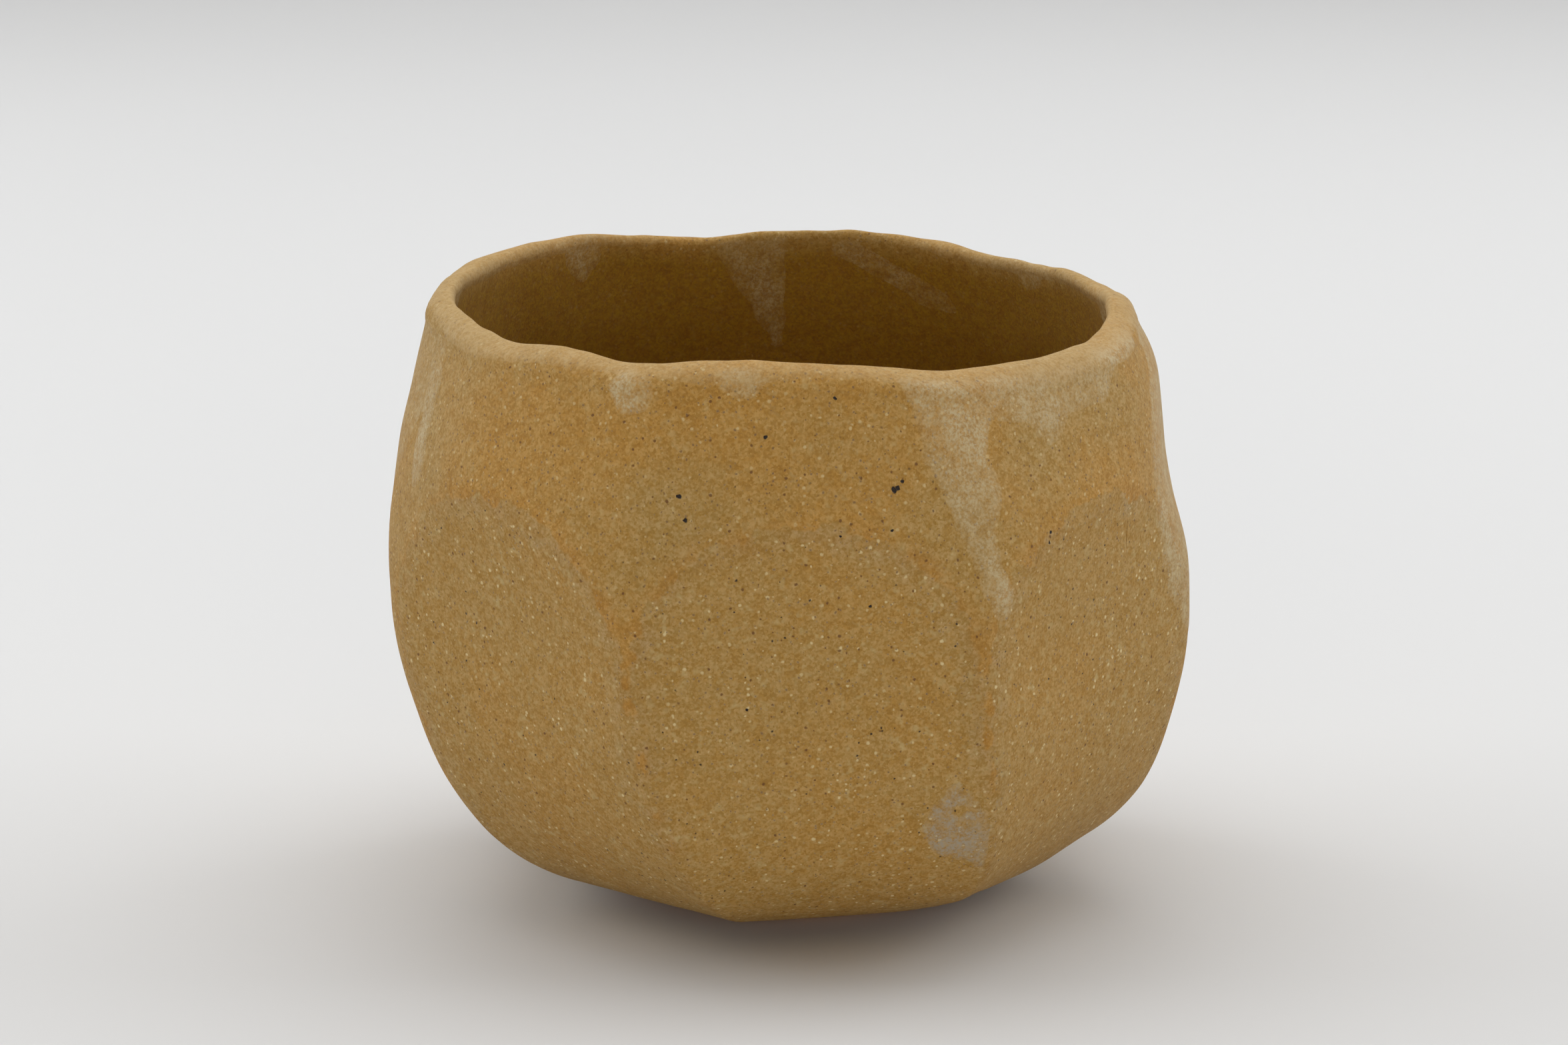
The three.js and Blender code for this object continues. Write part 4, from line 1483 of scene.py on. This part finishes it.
@dataclass
class GlazeSpot:
    """Dry grey-violet patch of glaze low on the front flat.

    A blot has its place across and up from the middle, its radius and its thickness.
    """

    maker: Maker
    azimuth: float = 22.3
    height: float = 21.4
    half_width: float = 7.5
    half_height: float = 9.2
    columns: int = 120
    rows: int = 40
    under_rows: int = 8
    innermost: Pair = (0.08, 0.03)
    thickness: float = 0.2
    rise: Pair = (0.1, 0.75)
    sink: float = 0.07
    depth: float = 0.4
    fading: Pair = (0.85, 0.99)
    ragged: tuple[NoiseKind, ...] = ((0.3, 2.6, 41), (0.3, 1.0, 43))
    ragged_from: float = 0.6
    ridge: Pair = (3.1, 4.3)
    ridge_top: Pair = (-1.5, 1.5)
    ridge_wear: float = 0.85
    blots: tuple[Quad, ...] = (
        (-2.4, -1.2, 2.3, 0.6), (0.2, -1.5, 2.5, 0.8), (2.6, -1.3, 2.2, 0.9), (2.9, -4.0, 1.5, 0.9),
        (3.2, -6.0, 0.9, 0.8), (0.7, -3.5, 1.8, 0.7), (-1.6, -3.0, 1.5, 0.5), (-3.4, 0.8, 1.6, 0.5),
        (-1.0, 1.6, 2.0, 0.65), (1.6, 1.2, 1.7, 0.65), (-2.0, 4.2, 1.9, 0.45), (-0.2, 5.2, 2.1, 0.5),
        (0.6, 7.3, 1.5, 0.35), (1.8, 3.4, 1.3, 0.4), (5.4, 3.6, 1.1, 0.35),
    )

    def cover(self, across: Array, up: Array) -> Array:
        """Cover from Gaussian blots, each hiding its share of what is still bare; it thins past the ridge.

        Args:
            across: Distances to the right of the middle.
            up: Distances above the middle.

        Returns:
            The cover at each point.
        """
        ragged = summed_noise(np.stack([across, up, np.zeros_like(up)], axis=-1), self.ragged)
        bare = np.ones_like(across)
        for right, above, radius, thick in self.blots:
            away = (across - right) ** 2 + (up - above) ** 2
            bare = bare * (1.0 - thick * np.exp(-(away / radius**2)))
        hidden = 1.0 - bare + ragged * smoothstep(0.0, self.ragged_from, 1.0 - bare)
        worn = self.ridge_wear * smoothstep(*self.ridge, across + ragged)
        return np.clip(hidden, 0.0, 1.0) * (1.0 - worn * (1.0 - smoothstep(*self.ridge_top, up)))

    def build(self, clay: ClayFinish) -> bpy.types.Object:
        """Polar grid on the skin: a lower face sunk into the clay, then the upper face raised by the cover.

        Args:
            clay: The finish of the clay under the patch.

        Returns:
            The dressed piece.
        """
        maker = self.maker
        under, upper = self.innermost
        upper_share = np.linspace(1.0, upper, self.rows)[1:]
        share = np.concatenate([np.linspace(under, 1.0, self.under_rows), upper_share])[:, None]
        turn = np.arange(self.columns)[None, :] * 2 * np.pi / self.columns
        across, up = self.half_width * share * np.cos(turn), self.half_height * share * np.sin(turn)
        radius = maker.form.carved_radius(np.array(self.azimuth), np.array(self.height))
        azimuth = self.azimuth + across * np.degrees(1.0 / radius)
        distance = maker.skin.outside_at(self.height + up)
        cover = self.cover(across, up) * (1.0 - smoothstep(*self.fading, share))
        lower = np.arange(len(share))[:, None] < self.under_rows
        raised = np.where(lower, -self.depth, self.thickness * smoothstep(*self.rise, cover) - self.sink)
        values = maker.clay_attributes(azimuth, distance)
        values["cover"] = np.where(lower, 0.0, cover)
        values["lip"] = np.zeros_like(cover)
        points = maker.on_skin(azimuth, distance, raised)
        piece = RingMesh("glaze_spot_film", points, values, loop=False, sharp=FILM_SHARP).build()
        finish = GlazeFinish(
            clay, "spot_glaze", milk=linear(158, 146, 126), strength=0.62, curds=(0.5, 1.3),
            flecks=0.85, gloss=0.78,
        )
        return dress(piece, finish.material(), "spot_glaze", "glaze_spot")


@dataclass
class JointSlip:
    """Rings of slip that lute the joints; they stay as solids and take the clay's finish."""

    nodes: tuple[str, ...] = ("floor_slip", "foot_slip")

    def dress(self, clay: ClayFinish) -> None:
        """Gives the rings one clay material.

        Args:
            clay: The finish.
        """
        material = clay.material(Zone.SLIP)
        for name in self.nodes:
            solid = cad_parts[name]
            solid.data.materials.clear()
            solid.data.materials.append(material)


@dataclass(frozen=True)
class Lamp:
    """Soft rectangular lamp that faces the bowl, with its place and size in metres and its power in watts."""

    name: str
    place: Triple
    size: Pair
    power: float
    tint: Triple = (1.0, 1.0, 1.0)
    aim: Triple = (0.0, 0.0, 0.05)

    def hang(self) -> None:
        """Adds the lamp to the scene, unseen by the camera."""
        light = bpy.data.lights.new(self.name, "AREA")
        light.shape = "RECTANGLE"
        light.size, light.size_y = self.size
        light.energy, light.color = self.power, self.tint
        lamp = add_object(self.name, light)
        lamp.location = self.place
        lamp.rotation_euler = (Vector(self.aim) - Vector(self.place)).to_track_quat("-Z", "Y").to_euler()
        lamp.visible_camera = False


@dataclass
class Studio:
    """Pale sweep, soft lamps and the camera; the sweep is in metres and the camera's place in millimetres."""

    shift: Array
    paper: Quad = linear(216, 216, 216)
    paper_grain: Pair = (0.6, 1.0)
    paper_tones: Pair = (0.99, 1.01)
    paper_roughness: float = 0.7
    paper_shine: float = 0.2
    floor_front: float = -2.5
    bend_front: float = 1.3
    bend_radius: float = 0.7
    bend_rows: int = 40
    backdrop_top: float = 3.0
    half_breadth: float = 3.0
    camera_place: Triple = (0.0, -600.0, 196.0)
    pitch: float = 13.49
    yaw: float = 0.06
    lens: float = 100.0
    sensor: float = 36.0
    clip: Pair = (0.01, 20.0)
    sky: float = 0.6
    sky_low: float = 0.11
    sky_middle: Triple = (0.0, 0.45, 0.893)
    sky_fade: Pair = (-0.2, 1.0)
    lamps: tuple[Lamp, ...] = (
        Lamp("top_softbox", (0.0, 0.45, 1.4), (1.8, 1.4), 13.1),
        Lamp("left_softbox", (-1.15, 0.38, 0.68), (1.2, 1.0), 7.5, COOL),
        Lamp("right_softbox", (1.15, 0.38, 0.68), (1.2, 1.0), 7.4, COOL),
        Lamp("front_fill", (0.0, -1.4, 0.32), (1.4, 0.5), 6.5, WARM),
    )

    def sweep(self) -> None:
        """Floor that turns up into a backdrop: a line, a quarter circle and a line, carried across."""
        turn, bend = np.linspace(0.0, np.pi / 2, self.bend_rows), self.bend_radius
        back = self.bend_front + bend
        y = np.concatenate([[self.floor_front], self.bend_front + bend * np.sin(turn), [back]])
        z = np.concatenate([[0.0], bend - bend * np.cos(turn), [self.backdrop_top]])
        x = np.array([-self.half_breadth, self.half_breadth])
        points = np.stack(np.broadcast_arrays(x, y[:, None], z[:, None]), axis=-1).reshape(-1, 3)
        faces = np.arange(len(y) - 1)[:, None] * 2 + np.array([0, 1, 3, 2])
        mesh = bpy.data.meshes.new("sweep")
        mesh.from_pydata(points.tolist(), [], faces.tolist())
        mesh.polygons.foreach_set("use_smooth", np.ones(len(faces), bool))
        mesh.materials.append(self.paper_material())
        floor = add_object("sweep", mesh)

    def paper_material(self) -> bpy.types.Material:
        """Material of matt paper, its tone slightly uneven.

        Returns:
            The new material.
        """
        material, g = new_material("paper")
        tone = g.ramp(g.noise(*self.paper_grain), *WIDE, *self.paper_tones)
        colour = g.mix(1.0, self.paper, tone, "MULTIPLY")
        finish = {"Roughness": self.paper_roughness, "Specular IOR Level": self.paper_shine}
        shader = g.node("ShaderNodeBsdfPrincipled", {"Base Color": colour, **finish})
        g.node("ShaderNodeOutputMaterial", {"Surface": shader.outputs[0]})
        return material

    def light(self) -> None:
        """Hangs the lamps and sets the sky, which fades from behind the bowl to the dark, warm front."""
        for lamp in self.lamps:
            lamp.hang()
        world = bpy.data.worlds.new("studio")
        bpy.context.scene.world = world
        world.use_nodes = True
        g = Graph(world.node_tree)
        ends = {0: g.node("ShaderNodeTexCoord").outputs["Generated"], 1: self.sky_middle}
        rise = g.node("ShaderNodeVectorMath", ends, operation="DOT_PRODUCT").outputs["Value"]
        share = g.ramp(rise, *self.sky_fade)
        colour = g.mix(share, (*WARM, 1.0), (*COOL, 1.0))
        strength = g.ramp(share, 0.0, 1.0, self.sky * self.sky_low, self.sky)
        sky = g.node("ShaderNodeBackground", {"Color": colour, "Strength": strength})
        g.node("ShaderNodeOutputWorld", {"Surface": sky.outputs[0]})

    def camera(self) -> None:
        """Sets the camera in front of the bowl, where it looks down on it a little."""
        view = bpy.data.cameras.new("camera")
        view.lens, view.sensor_width, view.sensor_fit = self.lens, self.sensor, "HORIZONTAL"
        view.clip_start, view.clip_end = self.clip
        camera = add_object("camera", view)
        camera.location = (np.array(self.camera_place) + self.shift) * MM
        camera.rotation_euler = Euler((math.radians(90.0 - self.pitch), 0.0, math.radians(self.yaw)))
        bpy.context.scene.camera = camera


def main() -> None:
    """Builds the bowl piece by piece, then the studio round it."""
    logging.basicConfig(level=logging.INFO, format="%(name)s: %(message)s")
    bpy.context.scene.view_settings.view_transform = "Standard"
    form = Form()
    maker = Maker(form, Skin(form))
    clay = ClayFinish(maker)
    for part in (BowlWall, BowlFloor, FootRing, RimGlaze, GlazeSpot):
        piece = part(maker).build(clay)
        LOG.info("%s: %d faces", piece.name, len(piece.data.polygons))
    slip = JointSlip()
    slip.dress(clay)
    LOG.info("kept as solids: %s", ", ".join(slip.nodes))
    studio = Studio(maker.shift)
    studio.sweep()
    studio.light()
    studio.camera()


if __name__ == "__main__":
    main()
